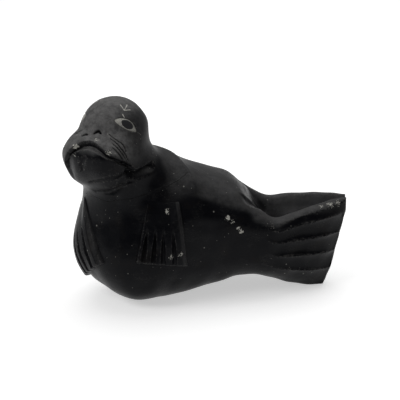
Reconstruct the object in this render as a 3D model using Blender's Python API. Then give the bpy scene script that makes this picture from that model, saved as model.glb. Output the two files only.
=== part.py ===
"""A resting seal carved from one block of black soapstone, raised head turned to its left."""

import bmesh
import bpy
import numpy as np

MM = 0.001

# Main sizes, in millimetres and degrees
LENGTH = 150.0
TRUNK_WIDTH = 67.0
HEIGHT = 111.5
HEAD_WIDTH = 36.0
CROWN_RISE = 17.0
HIND_FLIPPER_HEIGHT = 54.0
FACE_YAW = 56.0
HEAD_PITCH = 103.0

# Hind flippers
VALLEY_DEPTH = 10.0
TONGUE_STEP = 1.8
FLUTE_DEPTH = 1.9
SCALLOP_DEPTH = 0.9
TIP_ROUNDING = 0.7

# Fore flippers
FLIPPER_THICKNESS = 3.0
FLIPPER_TOP_WIDTH = 15.6
FLIPPER_LOW_WIDTH = 26.6
LEFT_FLIPPER_LENGTH = 35.0
RIGHT_FLIPPER_LENGTH = 41.0
FLIPPER_ROOT_DEPTH = 2.5
FLIPPER_EDGE_ROUNDING = 0.6
FLIPPER_CHAMFER_WIDTH = 2.4
DIGIT_GROOVE_DEPTH = 1.4
DIGIT_GROOVE_WIDTH = 2.2

# Face
MOUTH_DEPTH = 3.0
MOUTH_BAND = 2.0
JAW_DROP = 15.0
WHISKER_WIDTH = 1.1
WHISKER_DEPTH = 0.7
NOSTRIL_WIDTH = 1.9
NOSTRIL_DEPTH = 1.4
FOLD_WIDTH = 2.4
FOLD_DEPTH = 0.6
CHEEK_LEDGE = 2.6
CHEEK_FADE = 6.5
EYE_LENGTH = 12.8
EYE_HEIGHT = 6.4
EYE_TILT = 30.0
EYE_LINE_WIDTH = 1.3
EYE_LINE_DEPTH = 0.45

# The flat rubbed under the belly, and the block that takes it off
BASE_CUT = 0.9
GROUND_THICKNESS = 40.0

# Fineness: rings along the body, points round it, triangles left after thinning
RINGS = 400
AROUND = 220
TRIANGLES = 9700

HEAD_CENTRE = np.array([-0.302 * LENGTH, -0.179 * TRUNK_WIDTH, 0.81 * HEIGHT])
FACE_WAY = -np.array([np.cos(np.radians(FACE_YAW)), np.sin(np.radians(FACE_YAW)), 0.0])
FACE_LEFT = np.array([-FACE_WAY[1], FACE_WAY[0], 0.0])

# Sections of the hind flippers and the trunk: centre along, across and up; pitch and yaw of the spine;
# half width; reach to the back; reach to the belly; squareness of the back's half and of the belly's half.
# Along in hundredths of the length, across and half width of the trunk's width, and the rest of the height.
HIND_FLIPPERS = [
    (48.6, -13.4, 48.9, 11.5, -6.0, 9.0, 50.4, 48.0, 4.0, 3.0),
    (43.0, -11.2, 48.5, 11.0, -5.0, 19.4, 48.5, 46.6, 5.0, 2.6),
    (33.3, -7.5, 50.0, 6.0, -4.0, 31.3, 40.7, 43.0, 6.0, 2.4),
    (24.7, -4.5, 53.7, 2.0, -2.0, 38.8, 31.5, 38.5, 6.0, 2.4),
]
TRUNK = [
    (17.3, -2.2, 30.5, 0.0, 0.0, 42.5, 17.9, 21.5, 3.4, 2.4),
    (12.7, -1.2, 34.1, 0.0, 1.0, 43.7, 20.4, 25.8, 2.7, 2.5),
    (7.3, -0.7, 38.1, 0.0, 2.0, 45.1, 20.8, 31.8, 2.4, 2.6),
    (-2.0, -1.5, 42.2, 1.0, 8.0, 48.8, 21.4, 38.6, 2.3, 2.7),
    (-11.3, -4.5, 46.6, 14.0, 18.0, 50.6, 22.2, 46.8, 2.3, 2.7),
    (-16.3, -6.0, 52.0, 28.0, 28.0, 49.4, 20.8, 52.4, 2.3, 3.0),
    (-20.3, -6.7, 57.8, 44.0, 37.0, 43.6, 18.8, 46.0, 2.3, 2.8),
    (-23.3, -7.5, 61.9, 58.0, 45.0, 37.6, 17.9, 29.1, 2.4, 2.4),
    (-25.9, -9.7, 65.1, 70.0, 51.0, 34.6, 18.0, 22.9, 2.5, 2.2),
    (-28.1, -13.4, 68.3, 82.0, 54.0, 33.6, 18.8, 24.6, 2.5, 2.8),
    (-29.6, -16.4, 72.2, 92.0, 56.0, 32.0, 19.3, 26.0, 2.4, 3.1),
]

# Sections of the jaw: height up the head's axis, half width, reach to the nape, reach to the face,
# squareness, pitch. Lengths in hundredths of the head's width.
JAW = [
    (-13.9, 55.4, 59.0, 79.6, 3.0, 99.0),
    (-2.8, 52.3, 54.4, 71.5, 2.7, 102.0),
    (8.9, 48.6, 48.8, 56.8, 2.1, HEAD_PITCH),
]

# The crown is half an ellipsoid on this foot: height, half width, reach to the nape, reach to the face
CROWN_FOOT = (11.7, 48.0, 46.3, 53.0)
CROWN_ANGLES = (8, 22, 36, 50, 63, 75, 84)

# How far the nape's half of a section is bent up, in hundredths of the head's width, over the height of its centre
NAPE_HEIGHTS = (0.62, 0.683, 0.722, 0.766, 0.80, 0.838, 0.88)
NAPE_LIFTS = (0, 4.2, 7.2, 7.2, 5.6, 2.8, 0)

# Lines on the head as bearings from the face's middle towards the seal's left, and heights over the head's
# centre in hundredths of its width. First the upper lip's edge.
LIP_EDGE = [(-36, -39.7), (-29, -23.1), (-20, -6.4), (-14, 4.7), (-6, 12.2), (2, 13.9), (10, 12.8), (18, 8.6),
            (26, 1.7), (35, -5.3), (46, -14.7), (53, -21.4), (58, -30.0)]
WHISKERS = [
    [(25, 23), (34, 18), (42, 11)],
    [(28, 17), (34, 12), (39, 7), (46, -1)],
    [(24, 12), (29, 10), (36, 2), (46, -9)],
    [(34, 2), (38, -5), (46, -15)],
]
NOSTRILS = [[(1, 21), (6, 24), (12, 22)], [(-14, 17), (-11, 19), (-8, 19)]]
MOUTH_HOLLOW = [(1, -6), (-3, -17), (-5, -27)]
THROAT_FOLD = [(55, -46), (37, -51), (19, -61), (-11, -69)]
CHEEK_EDGE = [(44, -24), (56, -29), (69, -29), (96, -26)]
JAW_FOLD = [(47, -31), (31, -34), (21, -38), (-2, -47)]
EYE_PLACE = (55, 30)

# Fore flippers: middle of the top edge in hundredths of the length, trunk width and height; way down;
# outward way; length; tilt of the lower edge
FORE_FLIPPERS = {
    "fore_flipper_left": ((-14.5, -42.1, 56.7), (-0.05, -0.23, -0.97), (0.0, -0.97, 0.23), LEFT_FLIPPER_LENGTH, 0.09),
    "fore_flipper_right": ((-40.3, -4.5, 52.0), (0.215, -0.45, -0.865), (-0.93, -0.34, -0.06), RIGHT_FLIPPER_LENGTH, -0.1),
}
DIGIT_GROOVES = (-0.70, -0.32, 0.07, 0.51)

# Where the hind flippers part from the back and where they end, and the tip of the back's tongue between them
LEAF_ROOT_X = 0.2 * LENGTH
LEAF_TIP_X = 0.513 * LENGTH
TONGUE_TIP_X = 0.23 * LENGTH

# The valley between the hind flippers: share of the way along them, share of its depth, half width in
# hundredths of the trunk's width
VALLEY = [(-0.11, 0.0, 22.5), (0.0, 0.5, 24.5), (0.09, 0.85, 25.4), (0.21, 1.0, 23.9), (0.43, 0.95, 20.1),
          (0.64, 0.8, 14.2), (0.81, 0.5, 8.0), (0.98, 0.15, 3.7)]

# Ridges between the hind flippers' flutes, as shares of the height from the top, root and tip
RIDGES_ROOT = (0.03, 0.12, 0.28, 0.47, 0.65, 0.98)
RIDGES_TIP = (0.05, 0.15, 0.37, 0.58, 0.79, 1.0)


def smoothstep(low, high, value):
    share = np.clip((value - low) / (high - low), 0.0, 1.0)
    return share * share * (3 - 2 * share)


def unit(vector):
    return np.asarray(vector, float) / np.linalg.norm(vector)


def all_sections():
    """Every section in millimetres: those of the hind flippers, the trunk, the jaw and the crown."""
    tail, trunk = np.array(HIND_FLIPPERS), np.array(TRUNK)
    for table, high in ((tail, HIND_FLIPPER_HEIGHT), (trunk, HEIGHT)):
        table[:, 0] *= LENGTH / 100
        table[:, 1] *= TRUNK_WIDTH / 100
        table[:, 2] *= high / 100
        table[:, 5] *= TRUNK_WIDTH / 100
        table[:, 6:8] *= high / 100
    foot, width, back, front = (share * HEAD_WIDTH / 100 for share in CROWN_FOOT)
    head = [(*(share * HEAD_WIDTH / 100 for share in row[:4]), row[4], row[5]) for row in JAW]
    for degrees in CROWN_ANGLES:
        angle = np.radians(degrees)
        shrink = np.cos(angle)
        head.append((foot + CROWN_RISE * np.sin(angle), width * shrink, back * shrink, front * shrink, 2.0, HEAD_PITCH))
    lean = np.radians(HEAD_PITCH)
    axis = np.cos(lean) * FACE_WAY + np.array([0, 0, np.sin(lean)])
    rows = []
    for height, width, back, front, squareness, pitch in head:
        rows.append((*(HEAD_CENTRE + axis * height), pitch, FACE_YAW, width, back, front, 2.0, squareness))
    return np.vstack([tail, trunk, rows])


def between(table, where):
    """The sections' values between stations: a cubic through them, its slope weighted by spacing."""
    gap = np.maximum(np.linalg.norm(np.diff(table[:, :3], axis=0), axis=1), 0.01 * HEIGHT)[:, None]
    slope = np.diff(table, axis=0) / gap
    inner = (slope[:-1] * gap[1:] + slope[1:] * gap[:-1]) / (gap[:-1] + gap[1:])
    tangent = np.vstack([slope[:1], inner, slope[-1:]])
    first = np.clip(where.astype(int), 0, len(table) - 2)
    t = (where - first)[:, None]
    gap = gap[first]
    start = (2 * t**3 - 3 * t**2 + 1) * table[first] + (t**3 - 2 * t**2 + t) * gap * tangent[first]
    return start + (3 * t**2 - 2 * t**3) * table[first + 1] + (t**3 - t**2) * gap * tangent[first + 1]


def ring_values():
    """The sections' values at rings spaced by the way along the spine, closer together up the head."""
    table = all_sections()
    fine = np.linspace(0, len(table) - 1, 4000)
    values = between(table, fine)
    step = np.linalg.norm(np.diff(values[:, :3], axis=0), axis=1) + 0.5 * np.abs(np.diff(values[:, 7]))
    step *= 1 + 0.9 * smoothstep(75, 95, values[1:, 3])
    way = np.concatenate([[0], np.cumsum(step)])
    return between(table, np.interp(np.linspace(0, way[-1], RINGS), way, fine))


def ring_outlines(values):
    """Every ring's points across and up: superellipses of its half width and its two reaches.

    They start at the left side and go over the back. Points are evenly spaced along the outline, and on the
    head closer together over the face than over the nape.
    """
    angle = np.linspace(0, 2 * np.pi, 961)
    width, rise, drop, top, low = (column[:, None] for column in values[:, 5:].T)
    on_back = np.sin(angle) >= 0
    power = 2 / np.where(on_back, top, low)
    across = width * np.sign(np.cos(angle)) * np.abs(np.cos(angle)) ** power
    up = np.where(on_back, rise, -drop) * np.abs(np.sin(angle)) ** power
    step = np.hypot(np.diff(across, axis=1), np.diff(up, axis=1))
    over_face = smoothstep(75, 95, values[:, 3:4])
    step *= 1 + over_face * (0.55 - 0.75 * smoothstep(-0.5, 0.5, np.sin(angle[1:] - 0.45)))
    way = np.concatenate([np.zeros((len(values), 1)), np.cumsum(step, axis=1)], axis=1)
    share = np.arange(AROUND) / AROUND
    placed = [(np.interp(share * w[-1], w, a), np.interp(share * w[-1], w, u)) for w, a, u in zip(way, across, up)]
    across, up = np.moveaxis(np.array(placed), 1, 0)
    return across, up


def hollow_between_leaves(x, across, up):
    """How far the valley between the hind flippers, and the edge of the back's tongue, lie below the leaves' tops."""
    stations, depths, halves = np.array(VALLEY).T
    along = (x - LEAF_ROOT_X) / (LEAF_TIP_X - LEAF_ROOT_X)
    depth = np.interp(along, stations, depths)
    half = np.interp(along, stations, halves) * TRUNK_WIDTH / 100
    bowl = 1 - smoothstep(0.15, 1.0, np.abs(across) / half)
    part = x / LENGTH
    tip = TONGUE_TIP_X / LENGTH
    tongue_half = np.interp(part, [0.107, 0.147, tip], [0.254, 0.224, 0.09])
    share = np.abs(across) / TRUNK_WIDTH
    beside = smoothstep(tongue_half - 0.012, tongue_half + 0.012, share)
    beside *= 1 - smoothstep(tongue_half + 0.03, tongue_half + 0.105, share)
    beside *= smoothstep(0.113, 0.153, part) * (1 - smoothstep(0.24, 0.267, part))
    past_tip = smoothstep(tip - 0.0055, tip + 0.0055, part) * (1 - smoothstep(0.28, 0.347, part)) * bowl
    step = TONGUE_STEP * np.maximum(beside, past_tip)
    return np.where(up > 0, depth * bowl * VALLEY_DEPTH + step, 0.0)


def flute_place(x, share):
    """Each point's share of the way across the flute it is in, which flute that is, and the share along it."""
    along = np.clip((x - LEAF_ROOT_X) / (LEAF_TIP_X - LEAF_ROOT_X), 0, 1)
    ridges = np.array(RIDGES_ROOT) + (np.array(RIDGES_TIP) - np.array(RIDGES_ROOT)) * along[..., None]
    flute = np.clip((share[..., None] >= ridges).sum(-1) - 1, 0, len(RIDGES_ROOT) - 2)
    upper = np.take_along_axis(ridges, flute[..., None], -1)[..., 0]
    lower = np.take_along_axis(ridges, flute[..., None] + 1, -1)[..., 0]
    return np.clip((share - upper) / (lower - upper), 0, 1), flute, along


def flutes(x, share):
    """Inward depth of the hollow flutes: a parabola across each, growing towards the tip."""
    t, flute, along = flute_place(x, share)
    strength = np.where(flute == 0, 0.5, 1.0)
    return strength * (4 * t * (1 - t)) ** 0.8 * FLUTE_DEPTH * smoothstep(0.0, 0.55, along) ** 0.7


def scalloped(points, share, in_tail):
    """The hind flippers' trailing edge, drawn out a little between the ridges and notched at them."""
    t, _, along = flute_place(points[..., 0], share)
    reach = np.where(in_tail, smoothstep(0.72, 1.0, along), 0)
    points[..., 0] += SCALLOP_DEPTH * (np.sin(np.pi * t) ** 0.6 - 0.6) * reach
    return points


def body_skin():
    """The lofted body: superellipse rings across a spine that bends from the hind flippers up to the crown."""
    values = ring_values()
    pitch, yaw = np.radians(values[:, 3]), np.radians(values[:, 4])
    dorsal = np.stack([np.sin(pitch) * np.cos(yaw), np.sin(pitch) * np.sin(yaw), np.cos(pitch)], -1)
    left = np.stack([np.sin(yaw), -np.cos(yaw), 0 * yaw], -1)
    across, up = ring_outlines(values)
    rise, drop = values[:, 6:7], values[:, 7:8]
    x = values[:, :1] + up * dorsal[:, :1]
    in_tail = (values[:, :1] > 0.08 * LENGTH) & (values[:, 3:4] < 20)
    share = (rise - up) / (rise + drop)
    up = up - np.where(in_tail, hollow_between_leaves(x, across, up), 0)
    squeeze = np.where(in_tail, flutes(x, share), 0) * smoothstep(0.3, 0.7, np.abs(across) / values[:, 5:6])
    across = across - np.sign(across) * squeeze
    points = values[:, None, :3] + across[..., None] * left[:, None] + up[..., None] * dorsal[:, None]
    lift = np.interp(values[:, 2] / HEIGHT, NAPE_HEIGHTS, NAPE_LIFTS)[:, None] * HEAD_WIDTH / 100
    points[..., 2] += lift * np.clip(up / rise, 0, 1)
    return scalloped(points, share, in_tail)


def sanded(points, passes=320):
    """The skin with the hollow behind the neck rubbed smooth, as a carver would."""
    x, z = points[..., 0] / LENGTH, points[..., 2] / HEIGHT
    height = smoothstep(0.2, 0.4, z) * (1 - smoothstep(0.735, 0.825, z))
    along = smoothstep(-0.307, -0.24, x) * (1 - smoothstep(0.0, 0.12, x))
    weight = (height * along)[..., None]
    for _ in range(passes):
        rounded = points.copy()
        beside = (np.roll(points, 1, 1) + np.roll(points, -1, 1)) / 2
        rounded[1:-1] = 0.35 * (points[:-2] + points[2:]) + 0.3 * beside[1:-1]
        points = points + weight * (rounded - points)
    return points


def outward_normals(points):
    """Unit normals of the closed grid of points, turned to point outwards."""
    along = np.gradient(points, axis=0)
    around = (np.roll(points, -1, 1) - np.roll(points, 1, 1)) / 2
    normal = np.cross(along, around)
    normal /= np.linalg.norm(normal, axis=-1, keepdims=True) + 1e-12
    return normal * np.sign((normal * (points - points.mean(axis=1, keepdims=True))).sum())


def curve_through(path, count=32):
    """A smooth curve through a few hand-placed points: cubic pieces whose slopes follow the neighbours."""
    path = np.asarray(path, float)
    at = np.linspace(0, len(path) - 1, count)
    first = np.clip(at.astype(int), 0, len(path) - 2)
    t = (at - first)[:, None]
    p0, p3 = path[np.maximum(first - 1, 0)], path[np.minimum(first + 2, len(path) - 1)]
    p1, p2 = path[first], path[first + 1]
    return 0.5 * (2 * p1 + (p2 - p0) * t + (2 * p0 - 5 * p1 + 4 * p2 - p3) * t**2 + (3 * p1 - p0 - 3 * p2 + p3) * t**3)


def bearing_and_height(points):
    """Each point's bearing from the face's middle, and its height over the head's centre."""
    offset = points - HEAD_CENTRE
    bearing = np.degrees(np.arctan2(offset @ FACE_LEFT, offset @ FACE_WAY))
    return bearing, offset[..., 2] / HEAD_WIDTH * 100


def on_surface(points, gap):
    """For each row of gaps, the mean of the grid's few nearest points, with points that repeat left out."""
    flat = points.reshape(-1, 3)
    laid = []
    for row in gap:
        nearest = np.argpartition(row, 4)[:4]
        laid.append(np.average(flat[nearest], axis=0, weights=1 / (row[nearest] + 0.001 * HEAD_WIDTH)))
    laid = np.array(laid)
    moved = np.linalg.norm(np.diff(laid, axis=0), axis=1) > 1e-6 * HEAD_WIDTH
    return laid[np.append(True, moved)]


def drawn_on_head(points, path, count=32):
    """A line given by bearings and heights, laid on the head's skin."""
    bearing, height = bearing_and_height(points.reshape(-1, 3))
    far = np.where(height > -80, 0, 1e3)
    gap = [np.hypot((bearing - b) * 0.9, height - h) * HEAD_WIDTH / 100 + far for b, h in curve_through(path, count)]
    return on_surface(points, gap)


def distance_to_path(points, path):
    """Each point's distance from a broken line, and its share of the way along it."""
    ends = np.concatenate([[0], np.cumsum(np.linalg.norm(np.diff(path, axis=0), axis=1))])
    best, share = np.full(points.shape[:-1], np.inf), np.zeros(points.shape[:-1])
    for i, (a, b) in enumerate(zip(path[:-1], path[1:])):
        run = b - a
        t = np.clip(((points - a) @ run) / (run @ run), 0, 1)
        gap = np.linalg.norm(points - (a + t[..., None] * run), axis=-1)
        nearer = gap < best
        best = np.where(nearer, gap, best)
        share = np.where(nearer, (ends[i] + t * (ends[i + 1] - ends[i])) / ends[-1], share)
    return best, share


def groove(points, path, width, depth):
    """Depth of one knife stroke: full along its line, fading over half its width and towards its ends."""
    gap, share = distance_to_path(points, drawn_on_head(points, path))
    reach = width / 2 * (0.35 + 0.65 * np.sin(np.pi * np.clip(share, 0.03, 0.97)) ** 0.5)
    return depth * (1 - smoothstep(0.15, 1.0, gap / reach))


def ledge(points, path, depth):
    """Depth under an overhanging edge: full just below the line, fading downwards and to its ends."""
    path = drawn_on_head(points, path)
    gap, share = distance_to_path(points, path)
    height = np.interp(share, np.linspace(0, 1, len(path)), path[:, 2])
    below = gap * np.sign(height - points[..., 2]) / CHEEK_FADE
    ends = smoothstep(0, 0.2, share) * (1 - smoothstep(0.8, 1.0, share))
    return depth * ends * smoothstep(-0.09, 0.08, below) * (1 - smoothstep(0.12, 1.0, below)) ** 1.3


def mouth_recess(points):
    """Inward depth of the mouth: deepest in a band right under the upper lip, less over the lower jaw."""
    bearing, height = bearing_and_height(points)
    degrees, edge = np.array(LIP_EDGE).T
    below = (np.interp(bearing, degrees, edge) - height) * HEAD_WIDTH / 100
    within = smoothstep(degrees[0], degrees[0] + 8, bearing) * (1 - smoothstep(degrees[-1] - 7, degrees[-1], bearing))
    on_head = (height > -68) & (np.abs(bearing) < 89)
    band = smoothstep(-0.15, 0.2, below / MOUTH_BAND) * (1 - 0.45 * smoothstep(0.75, 1.3, below / MOUTH_BAND))
    return np.where(on_head, within * band * (1 - smoothstep(0.2, 1.0, below / JAW_DROP)) * MOUTH_DEPTH, 0)


def eye_outline(points, normals, side):
    """The almond round an eye, laid on the skin: side is 1 for the seal's left eye and -1 for its right."""
    centre = drawn_on_head(points, [(side * EYE_PLACE[0], EYE_PLACE[1])] * 2, 2)[0]
    near = np.linalg.norm(points - centre, axis=-1) < EYE_LENGTH / 4
    outward = unit(normals[near].mean(axis=0))
    rearward = unit(np.cross([0, 0, side], outward))
    upward = unit(np.cross(outward, rearward) * side)
    tilt = np.radians(EYE_TILT)
    rearward, upward = np.cos(tilt) * rearward - np.sin(tilt) * upward, np.sin(tilt) * rearward + np.cos(tilt) * upward
    angle = np.linspace(0, 2 * np.pi, 61)
    height = EYE_HEIGHT / 2 * np.sign(np.sin(angle)) * np.abs(np.sin(angle)) ** 1.25
    outline = centre + EYE_LENGTH / 2 * np.cos(angle)[:, None] * rearward + height[:, None] * upward
    return on_surface(points, [np.linalg.norm(points.reshape(-1, 3) - place, axis=1) for place in outline])


def carved_body():
    """The body's skin with everything cut into it, and its outward normals."""
    points = sanded(body_skin())
    normals = outward_normals(points)
    depth = mouth_recess(points)
    for path in WHISKERS:
        depth += groove(points, path, WHISKER_WIDTH, WHISKER_DEPTH)
        depth += groove(points, [(-b, h) for b, h in path], WHISKER_WIDTH, WHISKER_DEPTH)
    for path in NOSTRILS:
        depth += groove(points, path, NOSTRIL_WIDTH, NOSTRIL_DEPTH)
    depth += groove(points, MOUTH_HOLLOW, 2 * NOSTRIL_WIDTH, WHISKER_DEPTH)
    for path in (JAW_FOLD, THROAT_FOLD):
        depth += groove(points, path, FOLD_WIDTH, FOLD_DEPTH)
    depth += ledge(points, CHEEK_EDGE, CHEEK_LEDGE)
    for side in (1, -1):
        gap, _ = distance_to_path(points, eye_outline(points, normals, side))
        depth += EYE_LINE_DEPTH * (1 - smoothstep(0.25, 1.0, gap / (EYE_LINE_WIDTH / 2)))
    return points - depth[..., None] * normals, normals


def skin_height(points, normals, origin, aft, down, outward, a, b):
    """How far out the body lies over each place of a flat frame: the nearest points' heights along their slopes."""
    offset, normals = (points - origin).reshape(-1, 3), normals.reshape(-1, 3)
    skin_a, skin_b, skin_out = offset @ aft, offset @ down, offset @ outward
    near = (normals @ outward > 0.2) & (np.abs(skin_out) < 0.4 * TRUNK_WIDTH)
    skin_a, skin_b, skin_out, normals = skin_a[near], skin_b[near], skin_out[near], normals[near]
    slope_a, slope_b = -(normals @ aft) / (normals @ outward), -(normals @ down) / (normals @ outward)
    found = []
    for some_a, some_b in zip(a.ravel(), b.ravel()):
        gap_a, gap_b = some_a - skin_a, some_b - skin_b
        gap = gap_a**2 + gap_b**2
        nearest = np.argpartition(gap, 4)[:4]
        height = skin_out[nearest] + slope_a[nearest] * gap_a[nearest] + slope_b[nearest] * gap_b[nearest]
        found.append(np.average(height, weights=1 / (gap[nearest] + 1e-5 * TRUNK_WIDTH)))
    return np.array(found).reshape(a.shape)


def fore_flipper(points, normals, top, down, outward, length, tilt):
    """A fore flipper's outer and inner faces: a fan-shaped slab on the skin that thickens downwards.

    The grid's lines down it follow the grooves between its digits and the chamfer of its rear edge.
    """
    top = np.array(top) / 100 * np.array([LENGTH, TRUNK_WIDTH, HEIGHT])
    outward = unit(outward)
    down = unit(np.asarray(down) - np.dot(down, outward) * outward)
    aft = np.cross(outward, down)
    t = np.array([0, 0.04, 0.08, 0.13, 0.2, 0.3, 0.4, 0.5, 0.58, 0.66, 0.75, 0.84, 0.92, 0.98, 1.0])
    half = (FLIPPER_TOP_WIDTH + (FLIPPER_LOW_WIDTH - FLIPPER_TOP_WIDTH) * t) / 2
    groove_half = DIGIT_GROOVE_WIDTH / 2 * (0.3 + 0.7 * smoothstep(0.4, 0.9, t)) / half
    rim = FLIPPER_EDGE_ROUNDING / half
    lines, depths = [np.full_like(t, -1.0), -1 + rim], [0 * t, 0 * t]
    for place in DIGIT_GROOVES:
        lines += [place - groove_half, place + 0 * t, place + groove_half]
        depths += [0 * t, DIGIT_GROOVE_DEPTH * smoothstep(0.4, 0.72, t), 0 * t]
    for before, after in zip(DIGIT_GROOVES[:-1], DIGIT_GROOVES[1:]):
        lines.append((before + after) / 2 + 0 * t)
        depths.append(0 * t)
    chamfer = FLIPPER_CHAMFER_WIDTH / half
    lines += [1 - chamfer, 1 - chamfer / 2, np.full_like(t, 1.0)]
    depths += [0 * t, 0.22 * FLIPPER_THICKNESS * t, 0.45 * FLIPPER_THICKNESS * t]
    order = np.argsort([line[-1] for line in lines])
    s, cut = np.array(lines)[order], np.array(depths)[order]
    a = s * half
    b = t * (length + tilt * a)
    under = skin_height(points, normals, top, aft, down, outward, a, b)
    thick = FLIPPER_THICKNESS * (0.25 + 0.75 * t) * smoothstep(-0.05, 0.3, t)
    on_rim = (t == 1.0) | (np.abs(s) == 1.0)
    rounding = FLIPPER_EDGE_ROUNDING * (on_rim + 1.2 * (1 - smoothstep(0, 0.12, t)))
    height = under + thick - cut - rounding
    place = top + a[..., None] * aft + b[..., None] * down
    return place + height[..., None] * outward, place + (under - FLIPPER_ROOT_DEPTH)[..., None] * outward


def mesh_of(name, vertices, faces):
    """A mesh in metres from points in millimetres, its faces turned outwards."""
    mesh = bpy.data.meshes.new(name)
    mesh.from_pydata((vertices * MM).tolist(), [], [tuple(int(i) for i in face) for face in faces])
    edit = bmesh.new()
    edit.from_mesh(mesh)
    bmesh.ops.recalc_face_normals(edit, faces=edit.faces)
    edit.to_mesh(mesh)
    edit.free()
    return mesh


def body_mesh(points, origin):
    """The rings skinned with quads, closed at the hind flippers' ends and at the crown."""
    tail_end = points[0].mean(axis=0)
    rounding = points[0] + (tail_end - points[0]) * 0.12 + np.array([TIP_ROUNDING, 0, 0])
    rows = np.concatenate([rounding[None], points])
    tip = rounding.mean(axis=0) + np.array([0.4 * TIP_ROUNDING, 0, 0])
    crown = points[-1].mean(axis=0) + np.array([0, 0, 0.006 * CROWN_RISE])
    vertices = np.vstack([rows.reshape(-1, 3), tip, crown])
    here = np.arange(AROUND)
    following = (here + 1) % AROUND
    faces = []
    for ring in range(len(rows) - 1):
        a, b = ring * AROUND, (ring + 1) * AROUND
        faces += list(zip(a + here, a + following, b + following, b + here))
    last = (len(rows) - 1) * AROUND
    faces += [(len(vertices) - 2, f, h) for h, f in zip(here, following)]
    faces += [(last + h, last + f, len(vertices) - 1) for h, f in zip(here, following)]
    return mesh_of("seal", vertices - origin, faces)


def flipper_mesh(name, outer, inner, origin):
    """A closed slab between a fore flipper's two faces."""
    columns, rows = outer.shape[:2]
    count = columns * rows
    i, j = np.meshgrid(np.arange(columns - 1), np.arange(rows - 1), indexing="ij")
    quads = np.stack([i * rows + j, i * rows + j + 1, (i + 1) * rows + j + 1, (i + 1) * rows + j], -1).reshape(-1, 4)
    rim = np.concatenate([np.arange(rows), np.arange(1, columns) * rows + rows - 1,
                          (columns - 1) * rows + np.arange(rows - 2, -1, -1), np.arange(columns - 2, 0, -1) * rows])
    follow = np.roll(rim, -1)
    walls = np.stack([rim, follow, follow + count, rim + count], -1)
    faces = np.concatenate([quads, quads + count, walls])
    return mesh_of(name, np.concatenate([outer.reshape(-1, 3), inner.reshape(-1, 3)]) - origin, faces)


def soapstone():
    material = bpy.data.materials.new("black_soapstone")
    material.use_nodes = True
    shader = material.node_tree.nodes["Principled BSDF"]
    shader.inputs["Base Color"].default_value = (0.022, 0.022, 0.024, 1)
    shader.inputs["Roughness"].default_value = 0.38
    shader.inputs["Metallic"].default_value = 0.0
    return material


def collection_named(name):
    collection = bpy.data.collections.new(name)
    bpy.context.scene.collection.children.link(collection)
    return collection


def set_aside(tool, collection):
    """A tool of a Boolean: kept out of the render, drawn as wires."""
    tool.hide_render = True
    tool.display_type = "WIRE"
    for owner in list(tool.users_collection):
        owner.objects.unlink(tool)
    collection.objects.link(tool)


def boolean(owner, name, operation, tool):
    modifier = owner.modifiers.new(name, "BOOLEAN")
    modifier.operation = operation
    modifier.solver = "EXACT"
    modifier.object = tool


def main():
    for leftover in list(bpy.data.objects):
        bpy.data.objects.remove(leftover, do_unlink=True)
    parts = collection_named("seal_figurine")
    cutters = collection_named("cutters")

    points, normals = carved_body()
    flippers = {name: fore_flipper(points, normals, *layout) for name, layout in FORE_FLIPPERS.items()}
    faces = np.vstack([points.reshape(-1, 3)] + [outer.reshape(-1, 3) for outer, _ in flippers.values()])
    low, high = faces.min(axis=0), faces.max(axis=0)
    origin = np.array([(low[0] + high[0]) / 2, (low[1] + high[1]) / 2, low[2] + BASE_CUT])
    seal = bpy.data.objects.new("seal", body_mesh(points, origin))
    seal.data.materials.append(soapstone())
    parts.objects.link(seal)
    thinned = seal.modifiers.new("thinned", "DECIMATE")
    thinned.ratio = TRIANGLES / (2 * RINGS * AROUND)

    for name, (outer, inner) in flippers.items():
        slab = bpy.data.objects.new(name, flipper_mesh(name, outer, inner, origin))
        slab.data.materials.append(seal.data.materials[0])
        set_aside(slab, cutters)
        boolean(seal, name, "UNION", slab)

    bpy.ops.mesh.primitive_cube_add(size=1, location=(0, 0, -GROUND_THICKNESS / 2 * MM))
    ground = bpy.context.object
    ground.name = "ground"
    ground.scale = (2 * LENGTH * MM, 2 * LENGTH * MM, GROUND_THICKNESS * MM)
    set_aside(ground, cutters)
    boolean(seal, "flat_base", "DIFFERENCE", ground)


main()
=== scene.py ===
"""A small seal carved from one block of black soapstone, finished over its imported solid.

Lengths in the shape functions are millimetres, in the frame the carving was laid out in.
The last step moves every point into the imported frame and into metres.
"""

from functools import lru_cache
from types import SimpleNamespace

import bpy
import numpy as np
from bpy.props import FloatProperty, FloatVectorProperty, PointerProperty
from mathutils import Matrix, Vector


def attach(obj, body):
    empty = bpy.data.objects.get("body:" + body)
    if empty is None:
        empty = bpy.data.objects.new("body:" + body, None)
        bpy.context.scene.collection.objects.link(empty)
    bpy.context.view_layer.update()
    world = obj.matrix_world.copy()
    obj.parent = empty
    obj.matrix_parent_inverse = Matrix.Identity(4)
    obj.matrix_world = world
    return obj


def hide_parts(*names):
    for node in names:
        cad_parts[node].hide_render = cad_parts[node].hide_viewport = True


bl_info = {
    "name": "Carved Stone Seal",
    "version": (1, 0, 0),
    "blender": (4, 5, 0),
    "location": "View3D > Sidebar > Stone Seal",
    "description": "Builds a small soapstone seal over its solid, with its stage",
    "category": "Add Mesh",
}

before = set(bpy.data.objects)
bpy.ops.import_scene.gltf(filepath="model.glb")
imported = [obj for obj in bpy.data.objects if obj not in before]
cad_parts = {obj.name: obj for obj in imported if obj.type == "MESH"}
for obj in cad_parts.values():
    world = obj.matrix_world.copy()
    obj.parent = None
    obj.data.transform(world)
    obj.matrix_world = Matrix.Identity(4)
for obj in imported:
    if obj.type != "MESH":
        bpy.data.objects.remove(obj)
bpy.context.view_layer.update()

MM = 0.001

# Fineness: rings along the body, points round each, points along each side of a fore flipper, and the steps that
# the spine and a ring's outline are followed in
RINGS = 430
AROUND = 230
FLIPPER_GRID = 141
SPINE_STEPS = 4000
OUTLINE_STEPS = 961
SANDING_PASSES = 320

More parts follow.
